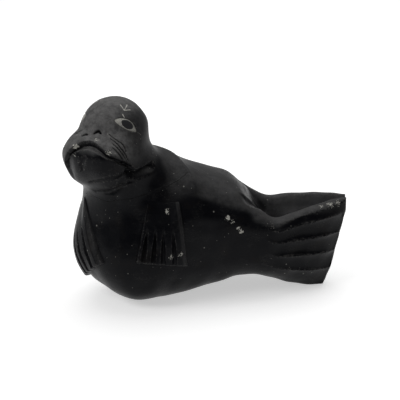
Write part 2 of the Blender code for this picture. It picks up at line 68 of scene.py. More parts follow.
# Small sizes, in millimetres: what is rubbed off under the belly, roundings, fades and depths
BASE_CUT = 0.9
TIP_ROUNDING = 0.7
LOW_CORNER_ROUNDING = 3.6
CHEEK_FADE = 6.5
FLIPPER_ROOT_DEPTH = 2.5
FLIPPER_EDGE_ROUNDING = 0.7
FLIPPER_CHAMFER_WIDTH = 2.4
RUBBING_WAVELENGTH = 11.0
RUBBING_SEED = 3

# The eyes' tilt in degrees, and the height of the lower lid's curve as a share of the upper one's
EYE_TILT = 35.0
LOWER_LID = 0.55

# Where a mesh is shaded with a sharp edge, in degrees, and what stands for far from the crack, in millimetres
SHARP_ANGLE = 50.0
FAR_FROM_CRACK = 9.0

# The camera's aim over the layout's ground and its sensor, in millimetres, and how far the picture is shifted up
AIM_HEIGHT = 48.0
SENSOR_WIDTH = 36.0
PICTURE_SHIFT = 3.0 / 400

# Main sizes, in millimetres and degrees
LENGTH = 150.0
TRUNK_WIDTH = 67.0
HEIGHT = 111.5
HEAD_WIDTH = 36.0
CROWN_RISE = 17.0
HIND_FLIPPER_HEIGHT = 54.0
FACE_YAW = 56.0
HEAD_PITCH = 103.0

LEFT_FLIPPER_LENGTH = 35.0
RIGHT_FLIPPER_LENGTH = 41.0

HEAD_CENTRE = np.array([-0.302 * LENGTH, -0.179 * TRUNK_WIDTH, 0.81 * HEIGHT])
FACE_WAY = -np.array([np.cos(np.radians(FACE_YAW)), np.sin(np.radians(FACE_YAW)), 0.0])
FACE_LEFT = np.array([-FACE_WAY[1], FACE_WAY[0], 0.0])

# Sections of the hind flippers and the trunk: centre along, across and up; pitch and yaw of the spine;
# half width; reach to the back; reach to the belly; squareness of the back's half and of the belly's half.
# Along in hundredths of the length, across and half width of the trunk's width, and the rest of the height.
HIND_FLIPPERS = [
    (48.6, -13.4, 48.9, 11.5, -6.0, 9.0, 50.4, 48.0, 4.0, 3.0),
    (43.0, -11.2, 48.5, 11.0, -5.0, 19.4, 48.5, 46.6, 5.0, 2.6),
    (33.3, -7.5, 50.0, 6.0, -4.0, 31.3, 40.7, 43.0, 6.0, 2.4),
    (24.7, -4.5, 53.7, 2.0, -2.0, 38.8, 31.5, 38.5, 6.0, 2.4),
]
TRUNK = [
    (17.3, -2.2, 30.5, 0.0, 0.0, 42.5, 17.9, 21.5, 3.4, 2.4),
    (12.7, -1.2, 34.1, 0.0, 1.0, 43.7, 20.4, 25.8, 2.7, 2.5),
    (7.3, -0.7, 38.1, 0.0, 2.0, 45.1, 20.8, 31.8, 2.4, 2.6),
    (-2.0, -1.5, 42.2, 1.0, 8.0, 48.8, 21.4, 38.6, 2.3, 2.7),
    (-11.3, -4.5, 46.6, 14.0, 18.0, 50.6, 22.2, 46.8, 2.3, 2.7),
    (-16.3, -6.0, 52.0, 28.0, 28.0, 49.4, 20.8, 52.4, 2.3, 3.0),
    (-20.3, -6.7, 57.8, 44.0, 37.0, 43.6, 18.8, 46.0, 2.3, 2.8),
    (-23.3, -7.5, 61.9, 58.0, 45.0, 37.6, 17.9, 29.1, 2.4, 2.4),
    (-25.9, -9.7, 65.1, 70.0, 51.0, 34.6, 18.0, 22.9, 2.5, 2.2),
    (-28.1, -13.4, 68.3, 82.0, 54.0, 33.6, 18.8, 24.6, 2.5, 2.8),
    (-29.6, -16.4, 72.2, 92.0, 56.0, 32.0, 19.3, 26.0, 2.4, 3.1),
]

# Sections of the jaw: height up the head's axis, half width, reach to the nape, reach to the face,
# squareness, pitch. Lengths in hundredths of the head's width.
JAW = [
    (-13.9, 55.4, 59.0, 79.6, 3.0, 99.0),
    (-2.8, 52.3, 54.4, 71.5, 2.7, 102.0),
    (8.9, 48.6, 48.8, 56.8, 2.1, HEAD_PITCH),
]

# The crown is half an ellipsoid on this foot: height, half width, reach to the nape, reach to the face
CROWN_FOOT = (11.7, 48.0, 46.3, 53.0)
CROWN_ANGLES = (8, 22, 36, 50, 63, 75, 84)

# How far the nape's half of a section is bent up, in hundredths of the head's width, over the height of the
# section's centre as a share of the whole height
NAPE_HEIGHTS = (0.62, 0.683, 0.722, 0.766, 0.80, 0.838, 0.88)
NAPE_LIFTS = (0, 5.2, 9.0, 9.4, 7.8, 4.0, 0)

# Lines on the head as bearings from the face's middle towards the seal's left, and heights over the head's
# centre in hundredths of its width. First the upper lip's edge.
LIP_EDGE = [(-36, -39.7), (-29, -23.1), (-20, -6.4), (-14, 4.7), (-6, 12.2), (2, 13.9), (10, 12.8), (18, 8.6),
            (26, 1.7), (35, -5.3), (46, -14.7), (53, -21.4), (58, -30.0)]
WHISKERS = [
    [(25, 21), (35, 15), (43, 9), (46, 0)],
    [(27, 17), (34, 13), (39, 7), (44, -2), (47, -11)],
    [(30, 13), (36, 7), (41, -2), (45, -12)],
    [(30, 9), (35, 3), (40, -7), (45, -16)],
]
NOSTRILS = [[(1, 21), (6, 24), (12, 22)], [(-14, 17), (-11, 19), (-8, 19)]]
MOUTH_HOLLOW = [(1, -6), (-3, -17), (-5, -27)]
THROAT_FOLD = [(55, -46), (37, -51), (19, -61), (-11, -69)]
CHEEK_EDGE = [(44, -24), (56, -29), (69, -29), (96, -26)]
JAW_FOLD = [(47, -31), (31, -34), (21, -38), (-2, -47)]
EYE_PLACES = {1: (55, 30), -1: (-61, 27)}

# Fore flippers: middle of the top edge in hundredths of the length, trunk width and height; way down;
# outward way; length; tilt of the lower edge
FORE_FLIPPERS = {
    "fore_flipper_left": ((-14.5, -42.1, 56.7), (-0.05, -0.23, -0.97), (0.0, -0.97, 0.23),
                          LEFT_FLIPPER_LENGTH, 0.09),
    "fore_flipper_right": ((-40.3, -4.5, 52.0), (0.215, -0.45, -0.865), (-0.93, -0.34, -0.06),
                           RIGHT_FLIPPER_LENGTH, -0.1),
}
DIGIT_GROOVES = (-0.77, -0.37, 0.02, 0.48)

# Where the hind flippers part from the back and where they end, and the tip of the back's tongue between them
LEAF_ROOT_X = 0.2 * LENGTH
LEAF_TIP_X = 0.513 * LENGTH
TONGUE_TIP_X = 0.23 * LENGTH

# The valley between the hind flippers: share of the way along them, share of its depth, half width in
# hundredths of the trunk's width
VALLEY = [(-0.11, 0.0, 22.5), (0.0, 0.5, 24.5), (0.09, 0.85, 25.4), (0.21, 1.0, 23.9), (0.43, 0.95, 20.1),
          (0.64, 0.8, 14.2), (0.81, 0.5, 8.0), (0.98, 0.15, 3.7)]

# Ridges between the hind flippers' flutes, as shares of the height from the top, root and tip
RIDGES_ROOT = (0.03, 0.12, 0.28, 0.47, 0.65, 0.98)
RIDGES_TIP = (0.05, 0.15, 0.37, 0.58, 0.79, 1.0)

# Short strokes over an eye, from and to, as bearings and heights
BROW_STROKES = [((57, 54), (60, 48)), ((83, 52), (60, 48)), ((61, 48), (78, 47)), ((52, 44), (54, 40))]

# A hairline crack round the base of the neck, along, across and up in hundredths of the main sizes
CRACK = [(-40.9, -7.6, 53.5), (-37.6, -29.7, 55.7), (-33.1, -38.8, 54.9), (-27.7, -43.1, 57.3),
         (-20.6, -46.1, 58.9), (-15.4, -39.9, 60.5), (-11.9, -36.0, 61.1), (-8.3, -31.8, 62.8),
         (-5.0, -26.0, 64.3)]

# Chips and scuffs: place in hundredths of the main sizes, reach in millimetres, share of it that is chipped, fineness
CHIP_PATCHES = [
    ((7.6, -43.9, 45.2), 2.2, 0.75, 1.0),
    ((9.2, -44.2, 43.3), 1.7, 0.70, 1.1),
    ((11.1, -44.8, 40.3), 1.9, 0.70, 1.1),
    ((12.3, -44.9, 38.4), 1.8, 0.70, 1.0),
    ((41.9, -26.7, 45.2), 2.8, 0.55, 1.3),
    ((45.3, -25.2, 45.7), 3.6, 0.58, 1.6),
    ((48.2, -23.1, 46.0), 3.0, 0.60, 1.6),
    ((23.5, -40.1, 39.4), 4.0, 0.42, 1.5),
    ((-13.5, -49.5, 51.3), 2.4, 0.66, 1.3),
    ((-12.5, -59.0, 30.6), 2.7, 0.62, 1.3),
    ((-9.4, -57.5, 31.3), 2.6, 0.62, 1.3),
    ((-36.5, -49.3, 86.1), 3.0, 0.55, 1.5),
    ((-32.9, -60.0, 81.9), 3.0, 0.58, 1.5),
    ((-43.3, -46.1, 82.6), 2.2, 0.80, 1.0),
    ((-43.9, -47.3, 79.0), 1.6, 0.60, 1.2),
    ((-34.4, -18.7, 99.1), 3.0, 0.45, 1.6),
]


# Sizes and colours that a user would change

def length_property(name, description, millimetres, most=20.0):
    """A length for the panel: given in millimetres, held in metres."""
    return FloatProperty(name=name, description=description, default=millimetres * MM, min=0.0, max=most * MM,
                         precision=5, subtype="DISTANCE", unit="LENGTH")


def colour_property(name, description, colour):
    """A colour for the panel."""
    return FloatVectorProperty(name=name, description=description, default=colour, min=0.0, max=1.0, size=3,
                               subtype="COLOR")


class CarvingSizes(bpy.types.PropertyGroup):
    """How deep and how wide the carver's cuts are."""

    valley_depth: length_property("Valley depth", "Hollow between the two hind flippers", 10.0)
    tongue_step: length_property("Tongue step", "Ledge where the back's end lies over the hind flippers", 1.8)
    flute_depth: length_property("Flute depth", "Hollow flutes of the hind flippers", 1.9)
    scallop_depth: length_property("Scallop depth", "Notches in the hind flippers' trailing edge", 0.9)
    flipper_thickness: length_property("Fore flipper thickness", "How far a fore flipper stands out", 3.0)
    flipper_top_width: length_property("Fore flipper top width", "Its width at the shoulder", 15.6, 40.0)
    flipper_low_width: length_property("Fore flipper low width", "Its width at the tip", 26.6, 50.0)
    groove_depth: length_property("Digit groove depth", "Grooves between a fore flipper's digits", 1.4)
    groove_width: length_property("Digit groove width", "Width of those grooves at the tip", 2.8)
    mouth_depth: length_property("Mouth depth", "How far the mouth lies behind the upper lip", 3.0)
    mouth_band: length_property("Mouth band", "Height of the dark band right under the lip", 2.0)
    jaw_drop: length_property("Jaw drop", "Height over which the lower jaw comes out again", 15.0)
    whisker_width: length_property("Whisker width", "Width of a whisker stroke", 1.1)
    whisker_depth: length_property("Whisker depth", "Depth of a whisker stroke", 0.7)
    nostril_width: length_property("Nostril width", "Width of a nostril's cut", 1.9)
    nostril_depth: length_property("Nostril depth", "Depth of a nostril's cut", 1.4)
    fold_width: length_property("Fold width", "Width of the folds under the jaw", 2.4)
    fold_depth: length_property("Fold depth", "Depth of those folds", 0.6)
    cheek_ledge: length_property("Cheek ledge", "How far the cheek hangs over the neck", 2.6)
    eye_length: length_property("Eye length", "Length of an eye", 12.8)
    eye_height: length_property("Eye height", "Height of an eye", 6.4)
    eye_line_width: length_property("Eye line width", "Width of the knife line round an eye", 1.3)
    eye_line_depth: length_property("Eye line depth", "Depth of that line", 0.45)
    rubbing: length_property("Hand rubbing", "Unevenness left by rubbing the stone by hand", 0.16)


class StoneLook(bpy.types.PropertyGroup):
    """The stone's colours and polish."""

    black: colour_property("Black", "Main body of the stone", (0.0022, 0.0024, 0.0036))
    grey: colour_property("Grey", "Clouds and veins in the stone", (0.0046, 0.0047, 0.0060))
    brown: colour_property("Brown", "Warm stains in the stone", (0.0062, 0.0052, 0.0050))
    pale: colour_property("Pale", "Fresh stone in scratches and chips", (0.55, 0.54, 0.49))
    dust: colour_property("Dust", "Dull residue in the cuts", (0.11, 0.107, 0.103))
    # Grey of the painted sheen on the head and on upward-facing stone, where the polish is also dulled.
    wear_and_sheen: colour_property("Handled", "Dull grey where the wax is rubbed off", (0.125, 0.123, 0.122))
    polish: FloatProperty(name="Polish roughness", description="Roughness of the waxed stone", default=0.36,
                          min=0.0, max=1.0, subtype="FACTOR")
    worn: FloatProperty(name="Worn roughness", description="Roughness of scratched or dusty stone", default=0.68,
                        min=0.0, max=1.0, subtype="FACTOR")


class StageLook(bpy.types.PropertyGroup):
    """The camera's place and the floor."""

    bearing: FloatProperty(name="Bearing", description="Camera's bearing from the front", default=np.radians(-6.0),
                           subtype="ANGLE", unit="ROTATION")
    elevation: FloatProperty(name="Elevation", description="Camera's height angle", default=np.radians(21.0),
                             subtype="ANGLE", unit="ROTATION")
    distance: length_property("Distance", "From the camera to the carving", 600.0, most=5000.0)
    focal_length: FloatProperty(name="Focal length", description="Of the lens, in millimetres", default=100.0,
                                min=10.0, max=400.0)
    floor: colour_property("Floor", "The pale floor", (0.8, 0.8, 0.8))


# Shape

def smoothstep(low, high, value):
    """0 below low and 1 above high, and 3 t^2 - 2 t^3 of the share t of the way between them."""
    share = np.clip((value - low) / (high - low), 0.0, 1.0)
    return share * share * (3 - 2 * share)


def unit(vector):
    """The vector with a length of 1."""
    return np.asarray(vector, float) / np.linalg.norm(vector)


def all_sections():
    """Every section in millimetres: those of the hind flippers, the trunk, the jaw and the crown."""
    tail, trunk = np.array(HIND_FLIPPERS), np.array(TRUNK)
    for table, high in ((tail, HIND_FLIPPER_HEIGHT), (trunk, HEIGHT)):
        table[:, 0] *= LENGTH / 100
        table[:, 1] *= TRUNK_WIDTH / 100
        table[:, 2] *= high / 100
        table[:, 5] *= TRUNK_WIDTH / 100
        table[:, 6:8] *= high / 100
    foot, width, back, front = (share * HEAD_WIDTH / 100 for share in CROWN_FOOT)
    head = [(*(share * HEAD_WIDTH / 100 for share in row[:4]), row[4], row[5]) for row in JAW]
    for degrees in CROWN_ANGLES:
        angle = np.radians(degrees)
        shrink = np.cos(angle)
        height = foot + CROWN_RISE * np.sin(angle)
        head.append((height, width * shrink, back * shrink, front * shrink, 2.0, HEAD_PITCH))
    lean = np.radians(HEAD_PITCH)
    axis = np.cos(lean) * FACE_WAY + np.array([0, 0, np.sin(lean)])
    rows = []
    for height, width, back, front, squareness, pitch in head:
        rows.append((*(HEAD_CENTRE + axis * height), pitch, FACE_YAW, width, back, front, 2.0, squareness))
    return np.vstack([tail, trunk, rows])


def between(table, where):
    """The sections' values between stations: a cubic through them, its slope weighted by spacing."""
    gap = np.maximum(np.linalg.norm(np.diff(table[:, :3], axis=0), axis=1), 0.01 * HEIGHT)[:, None]
    slope = np.diff(table, axis=0) / gap
    inner = (slope[:-1] * gap[1:] + slope[1:] * gap[:-1]) / (gap[:-1] + gap[1:])
    tangent = np.vstack([slope[:1], inner, slope[-1:]])
    first = np.clip(where.astype(int), 0, len(table) - 2)
    t = (where - first)[:, None]
    gap = gap[first]
    start = (2 * t**3 - 3 * t**2 + 1) * table[first] + (t**3 - 2 * t**2 + t) * gap * tangent[first]
    return start + (3 * t**2 - 2 * t**3) * table[first + 1] + (t**3 - t**2) * gap * tangent[first + 1]


def ring_values():
    """The sections' values at rings spaced by the way along the spine, closer together up the head."""
    table = all_sections()
    fine = np.linspace(0, len(table) - 1, SPINE_STEPS)
    values = between(table, fine)
    step = np.linalg.norm(np.diff(values[:, :3], axis=0), axis=1) + 0.5 * np.abs(np.diff(values[:, 7]))
    step *= 1 + 0.9 * smoothstep(75, 95, values[1:, 3])
    way = np.concatenate([[0], np.cumsum(step)])
    return between(table, np.interp(np.linspace(0, way[-1], RINGS), way, fine))


def ring_outlines(values):
    """Every ring's points across and up: superellipses of its half width and its two reaches.

    They start at the left side and go over the back. Points are evenly spaced along the outline, and on the
    head closer together over the face than over the nape.
    """
    angle = np.linspace(0, 2 * np.pi, OUTLINE_STEPS)
    width, rise, drop, top, low = (column[:, None] for column in values[:, 5:].T)
    on_back = np.sin(angle) >= 0
    power = 2 / np.where(on_back, top, low)
    across = width * np.sign(np.cos(angle)) * np.abs(np.cos(angle)) ** power
    up = np.where(on_back, rise, -drop) * np.abs(np.sin(angle)) ** power
    step = np.hypot(np.diff(across, axis=1), np.diff(up, axis=1))
    over_face = smoothstep(75, 95, values[:, 3:4])
    step *= 1 + over_face * (0.55 - 0.75 * smoothstep(-0.5, 0.5, np.sin(angle[1:] - 0.45)))
    way = np.concatenate([np.zeros((len(values), 1)), np.cumsum(step, axis=1)], axis=1)
    share = np.arange(AROUND) / AROUND
    placed = [(np.interp(share * run[-1], run, side), np.interp(share * run[-1], run, height))
              for run, side, height in zip(way, across, up)]
    across, up = np.moveaxis(np.array(placed), 1, 0)
    return across, up


def hollow_between_leaves(x, across, up, size):
    """How far the valley between the hind flippers, and the edge of the back's tongue, lie below the leaves' tops."""
    stations, depths, halves = np.array(VALLEY).T
    along = (x - LEAF_ROOT_X) / (LEAF_TIP_X - LEAF_ROOT_X)
    depth = np.interp(along, stations, depths)
    half = np.interp(along, stations, halves) * TRUNK_WIDTH / 100
    bowl = 1 - smoothstep(0.15, 1.0, np.abs(across) / half)
    part = x / LENGTH
    tip = TONGUE_TIP_X / LENGTH
    tongue_half = np.interp(part, [0.107, 0.147, tip], [0.254, 0.224, 0.09])
    share = np.abs(across) / TRUNK_WIDTH
    beside = smoothstep(tongue_half - 0.012, tongue_half + 0.012, share)
    beside *= 1 - smoothstep(tongue_half + 0.03, tongue_half + 0.105, share)
    beside *= smoothstep(0.113, 0.153, part) * (1 - smoothstep(0.24, 0.267, part))
    past_tip = smoothstep(tip - 0.0055, tip + 0.0055, part) * (1 - smoothstep(0.28, 0.347, part)) * bowl
    step = size.tongue_step * np.maximum(beside, past_tip)
    return np.where(up > 0, depth * bowl * size.valley_depth + step, 0.0)


def flute_place(x, share):
    """Each point's share of the way across the flute it is in, which flute that is, and the share along it."""
    along = np.clip((x - LEAF_ROOT_X) / (LEAF_TIP_X - LEAF_ROOT_X), 0, 1)
    ridges = np.array(RIDGES_ROOT) + (np.array(RIDGES_TIP) - np.array(RIDGES_ROOT)) * along[..., None]
    flute = np.clip((share[..., None] >= ridges).sum(-1) - 1, 0, len(RIDGES_ROOT) - 2)
    upper = np.take_along_axis(ridges, flute[..., None], -1)[..., 0]
    lower = np.take_along_axis(ridges, flute[..., None] + 1, -1)[..., 0]
    return np.clip((share - upper) / (lower - upper), 0, 1), flute, along


def flutes(x, share, size):
    """Inward depth of the hollow flutes: a parabola across each, growing towards the tip."""
    t, flute, along = flute_place(x, share)
    strength = np.where(flute == 0, 0.5, 1.0)
    return strength * (4 * t * (1 - t)) ** 0.65 * size.flute_depth * smoothstep(0.0, 0.55, along) ** 0.7


def scalloped(points, share, in_tail, size):
    """The hind flippers' trailing edge, drawn out a little between the ridges and notched at them."""
    t, _, along = flute_place(points[..., 0], share)
    reach = np.where(in_tail, smoothstep(0.72, 1.0, along), 0)
    points[..., 0] += size.scallop_depth * (np.sin(np.pi * t) ** 0.6 - 0.6) * reach
    points[..., 0] -= LOW_CORNER_ROUNDING * smoothstep(0.76, 1.0, share) ** 2 * reach
    return points


def body_skin(size):
    """The lofted body: superellipse rings across a spine that bends from the hind flippers up to the crown."""
    values = ring_values()
    pitch, yaw = np.radians(values[:, 3]), np.radians(values[:, 4])
    dorsal = np.stack([np.sin(pitch) * np.cos(yaw), np.sin(pitch) * np.sin(yaw), np.cos(pitch)], -1)
    left = np.stack([np.sin(yaw), -np.cos(yaw), 0 * yaw], -1)
    across, up = ring_outlines(values)
    rise, drop = values[:, 6:7], values[:, 7:8]
    x = values[:, :1] + up * dorsal[:, :1]
    in_tail = (values[:, :1] > 0.08 * LENGTH) & (values[:, 3:4] < 20)
    share = (rise - up) / (rise + drop)
    up = up - np.where(in_tail, hollow_between_leaves(x, across, up, size), 0)
    squeeze = np.where(in_tail, flutes(x, share, size), 0) * smoothstep(0.3, 0.7, np.abs(across) / values[:, 5:6])
    across = across - np.sign(across) * squeeze
    points = values[:, None, :3] + across[..., None] * left[:, None] + up[..., None] * dorsal[:, None]
    lift = np.interp(values[:, 2] / HEIGHT, NAPE_HEIGHTS, NAPE_LIFTS)[:, None] * HEAD_WIDTH / 100
    points[..., 2] += lift * np.clip(up / rise, 0, 1)
    return scalloped(points, share, in_tail, size)


def sanded(points):
    """The skin with the hollow behind the neck rubbed smooth, as a carver would."""
    x, z = points[..., 0] / LENGTH, points[..., 2] / HEIGHT
    height = smoothstep(0.2, 0.4, z) * (1 - smoothstep(0.77, 0.88, z))
    along = smoothstep(-0.307, -0.24, x) * (1 - smoothstep(0.0, 0.12, x))
    weight = (height * along)[..., None]
    for _ in range(SANDING_PASSES):
        rounded = points.copy()
        beside = (np.roll(points, 1, 1) + np.roll(points, -1, 1)) / 2
        rounded[1:-1] = 0.35 * (points[:-2] + points[2:]) + 0.3 * beside[1:-1]
        points = points + weight * (rounded - points)
    return points


def outward_normals(points):
    """Unit normals of the closed grid of points, turned to point outwards."""
    along = np.gradient(points, axis=0)
    around = (np.roll(points, -1, 1) - np.roll(points, 1, 1)) / 2
    normal = np.cross(along, around)
    normal /= np.linalg.norm(normal, axis=-1, keepdims=True) + 1e-12
    return normal * np.sign((normal * (points - points.mean(axis=1, keepdims=True))).sum())


def curve_through(path, count=32):
    """A smooth curve through a few given points: cubic pieces whose slopes follow the neighbours."""
    path = np.asarray(path, float)
    at = np.linspace(0, len(path) - 1, count)
    first = np.clip(at.astype(int), 0, len(path) - 2)
    t = (at - first)[:, None]
    p0, p3 = path[np.maximum(first - 1, 0)], path[np.minimum(first + 2, len(path) - 1)]
    p1, p2 = path[first], path[first + 1]
    square, cube = 2 * p0 - 5 * p1 + 4 * p2 - p3, 3 * p1 - p0 - 3 * p2 + p3
    return 0.5 * (2 * p1 + (p2 - p0) * t + square * t**2 + cube * t**3)


def bearing_and_height(points):
    """Each point's bearing from the face's middle, and its height over the head's centre."""
    offset = points - HEAD_CENTRE
    bearing = np.degrees(np.arctan2(offset @ FACE_LEFT, offset @ FACE_WAY))
    return bearing, offset[..., 2] / HEAD_WIDTH * 100


def on_surface(points, gap):
    """For each row of gaps, the mean of the grid's few nearest points, with points that repeat left out."""
    flat = points.reshape(-1, 3)
    laid = []
    for row in gap:
        nearest = np.argpartition(row, 4)[:4]
        laid.append(np.average(flat[nearest], axis=0, weights=1 / (row[nearest] + 0.001 * HEAD_WIDTH)))
    laid = np.array(laid)
    moved = np.linalg.norm(np.diff(laid, axis=0), axis=1) > 1e-6 * HEAD_WIDTH
    return laid[np.append(True, moved)]


def drawn_on_head(points, path, count=32):
    """A line given by bearings and heights, laid on the head's skin."""
    bearing, height = bearing_and_height(points.reshape(-1, 3))
    far = np.where(height > -80, 0, 1e3)
    gap = [np.hypot((bearing - b) * 0.9, height - h) * HEAD_WIDTH / 100 + far for b, h in curve_through(path, count)]
    return on_surface(points, gap)


def distance_to_path(points, path, normals=None):
    """Each point's distance from a broken line and its share of the way along it.

    With normals, the distance is below zero on the side that lies to the right of the line.
    """
    ends = np.concatenate([[0], np.cumsum(np.linalg.norm(np.diff(path, axis=0), axis=1))])
    best, share = np.full(points.shape[:-1], 1e9), np.zeros(points.shape[:-1])
    side = np.ones(points.shape[:-1])
    for i, (a, b) in enumerate(zip(path[:-1], path[1:])):
        run = b - a
        t = np.clip(((points - a) @ run) / (run @ run), 0, 1)
        offset = points - (a + t[..., None] * run)
        gap = np.linalg.norm(offset, axis=-1)
        nearer = gap < best
        best = np.where(nearer, gap, best)
        share = np.where(nearer, (ends[i] + t * (ends[i + 1] - ends[i])) / ends[-1], share)
        if normals is not None:
            side = np.where(nearer, np.sign((np.cross(normals, run) * offset).sum(-1)), side)
    return best * side, share


def groove(points, path, width, depth):
    """Depth of one knife stroke: full along its line, fading over half its width and towards its ends."""
    gap, share = distance_to_path(points, drawn_on_head(points, path))
    reach = width / 2 * (0.35 + 0.65 * np.sin(np.pi * np.clip(share, 0.03, 0.97)) ** 0.5)
    return depth * (1 - smoothstep(0.15, 1.0, gap / reach))


def ledge(points, path, depth):
    """Depth under an overhanging edge: full just below the line, fading downwards and to its ends."""
    path = drawn_on_head(points, path)
    gap, share = distance_to_path(points, path)
    height = np.interp(share, np.linspace(0, 1, len(path)), path[:, 2])
    below = gap * np.sign(height - points[..., 2]) / CHEEK_FADE
    ends = smoothstep(0, 0.2, share) * (1 - smoothstep(0.8, 1.0, share))
    return depth * ends * smoothstep(-0.09, 0.08, below) * (1 - smoothstep(0.12, 1.0, below)) ** 1.3


def mouth_recess(points, size):
    """Inward depth of the mouth: deepest in a band right under the upper lip, less over the lower jaw."""
    bearing, height = bearing_and_height(points)
    degrees, edge = np.array(LIP_EDGE).T
    below = (np.interp(bearing, degrees, edge) - height) * HEAD_WIDTH / 100
    within = smoothstep(degrees[0], degrees[0] + 8, bearing)
    within *= 1 - smoothstep(degrees[-1] - 7, degrees[-1], bearing)
    on_head = (height > -68) & (np.abs(bearing) < 89)
    bands = below / size.mouth_band
    band = smoothstep(-0.15, 0.2, bands) * (1 - 0.45 * smoothstep(0.75, 1.3, bands))
    over_jaw = 1 - smoothstep(0.2, 1.0, below / size.jaw_drop)
    return np.where(on_head, within * band * over_jaw * size.mouth_depth, 0)


def eye_frame(points, normals, side):
    """An eye's middle on the skin, its ways rearward and upward: side is 1 for the left eye and -1 for the right."""
    centre = drawn_on_head(points, [EYE_PLACES[side]] * 2, 2)[0]
    near = np.linalg.norm(points - centre, axis=-1) < 0.09 * HEAD_WIDTH
    outward = unit(normals[near].mean(axis=0))
    rearward = unit(np.cross([0, 0, side], outward))
    upward = unit(np.cross(outward, rearward) * side)
    tilt = np.radians(EYE_TILT)
    return centre, np.cos(tilt) * rearward - np.sin(tilt) * upward, np.sin(tilt) * rearward + np.cos(tilt) * upward


def eye_outline(points, frame_of_eye, size):
    """The almond round an eye, laid on the skin: its half height times the sine to the power 1.25 across."""
    centre, rearward, upward = frame_of_eye
    angle = np.linspace(0, 2 * np.pi, 61)
    height = size.eye_height / 2 * np.where(np.sin(angle) > 0, 1.0, -LOWER_LID) * np.abs(np.sin(angle)) ** 1.25
    outline = centre + size.eye_length / 2 * np.cos(angle)[:, None] * rearward + height[:, None] * upward
    return on_surface(points, [np.linalg.norm(points.reshape(-1, 3) - place, axis=1) for place in outline])


def uneven(points, wavelength, seed, waves=14):
    """Smooth random swells of about 1 up and down: a sum of sine waves with seeded directions and phases."""
    draw = np.random.default_rng(seed)
    ways = draw.normal(size=(waves, 3))
    ways *= (2 * np.pi / wavelength / draw.uniform(0.7, 1.6, waves) / np.linalg.norm(ways, axis=1))[:, None]
    phases = draw.uniform(0, 2 * np.pi, waves)
    return np.sin(points @ ways.T + phases).sum(-1) / waves**0.5


def carved_body(size):
    """The body's skin with everything cut into it, its outward normals and the depth of the strokes at each point."""
    points = sanded(body_skin(size))
    normals = outward_normals(points)
    depth = np.zeros(points.shape[:2])
    for path in WHISKERS:
        depth += groove(points, path, size.whisker_width, size.whisker_depth)
        depth += groove(points, [(-b, h) for b, h in path], size.whisker_width, size.whisker_depth)
    for path in NOSTRILS:
        depth += groove(points, path, size.nostril_width, size.nostril_depth)
    depth += groove(points, MOUTH_HOLLOW, 2 * size.nostril_width, size.whisker_depth)
    strokes = depth
    depth = strokes + mouth_recess(points, size)
    for path in (JAW_FOLD, THROAT_FOLD):
        depth += groove(points, path, size.fold_width, size.fold_depth)
    depth += ledge(points, CHEEK_EDGE, size.cheek_ledge)
    for side in (1, -1):
        gap, _ = distance_to_path(points, eye_outline(points, eye_frame(points, normals, side), size))
        depth += size.eye_line_depth * (1 - smoothstep(0.25, 1.0, gap / (size.eye_line_width / 2)))
    depth += size.rubbing * uneven(points, RUBBING_WAVELENGTH, RUBBING_SEED)
    return points - depth[..., None] * normals, normals, strokes


def skin_height(points, normals, origin, aft, down, outward, a, b):
    """How far out the body lies over each place of a flat frame: the nearest points' heights along their slopes."""
    offset, normals = (points - origin).reshape(-1, 3), normals.reshape(-1, 3)
    skin_a, skin_b, skin_out = offset @ aft, offset @ down, offset @ outward
    near = (normals @ outward > 0.2) & (np.abs(skin_out) < 0.4 * TRUNK_WIDTH)
    near &= (np.abs(skin_a) < np.abs(a).max() + 4) & (skin_b > b.min() - 4) & (skin_b < b.max() + 4)
    skin_a, skin_b, skin_out, normals = skin_a[near], skin_b[near], skin_out[near], normals[near]
    slope_a, slope_b = -(normals @ aft) / (normals @ outward), -(normals @ down) / (normals @ outward)
    found = []
    for some_a, some_b in zip(np.array_split(a.ravel(), 60), np.array_split(b.ravel(), 60)):
        gap_a, gap_b = some_a[:, None] - skin_a, some_b[:, None] - skin_b
        gap = gap_a**2 + gap_b**2
        nearest = np.argpartition(gap, 4, axis=1)[:, :4]
        height = skin_out + slope_a * gap_a + slope_b * gap_b
        weight = 1 / (np.take_along_axis(gap, nearest, 1) + 0.01)
        found.append((np.take_along_axis(height, nearest, 1) * weight).sum(1) / weight.sum(1))
    return np.concatenate(found).reshape(a.shape)


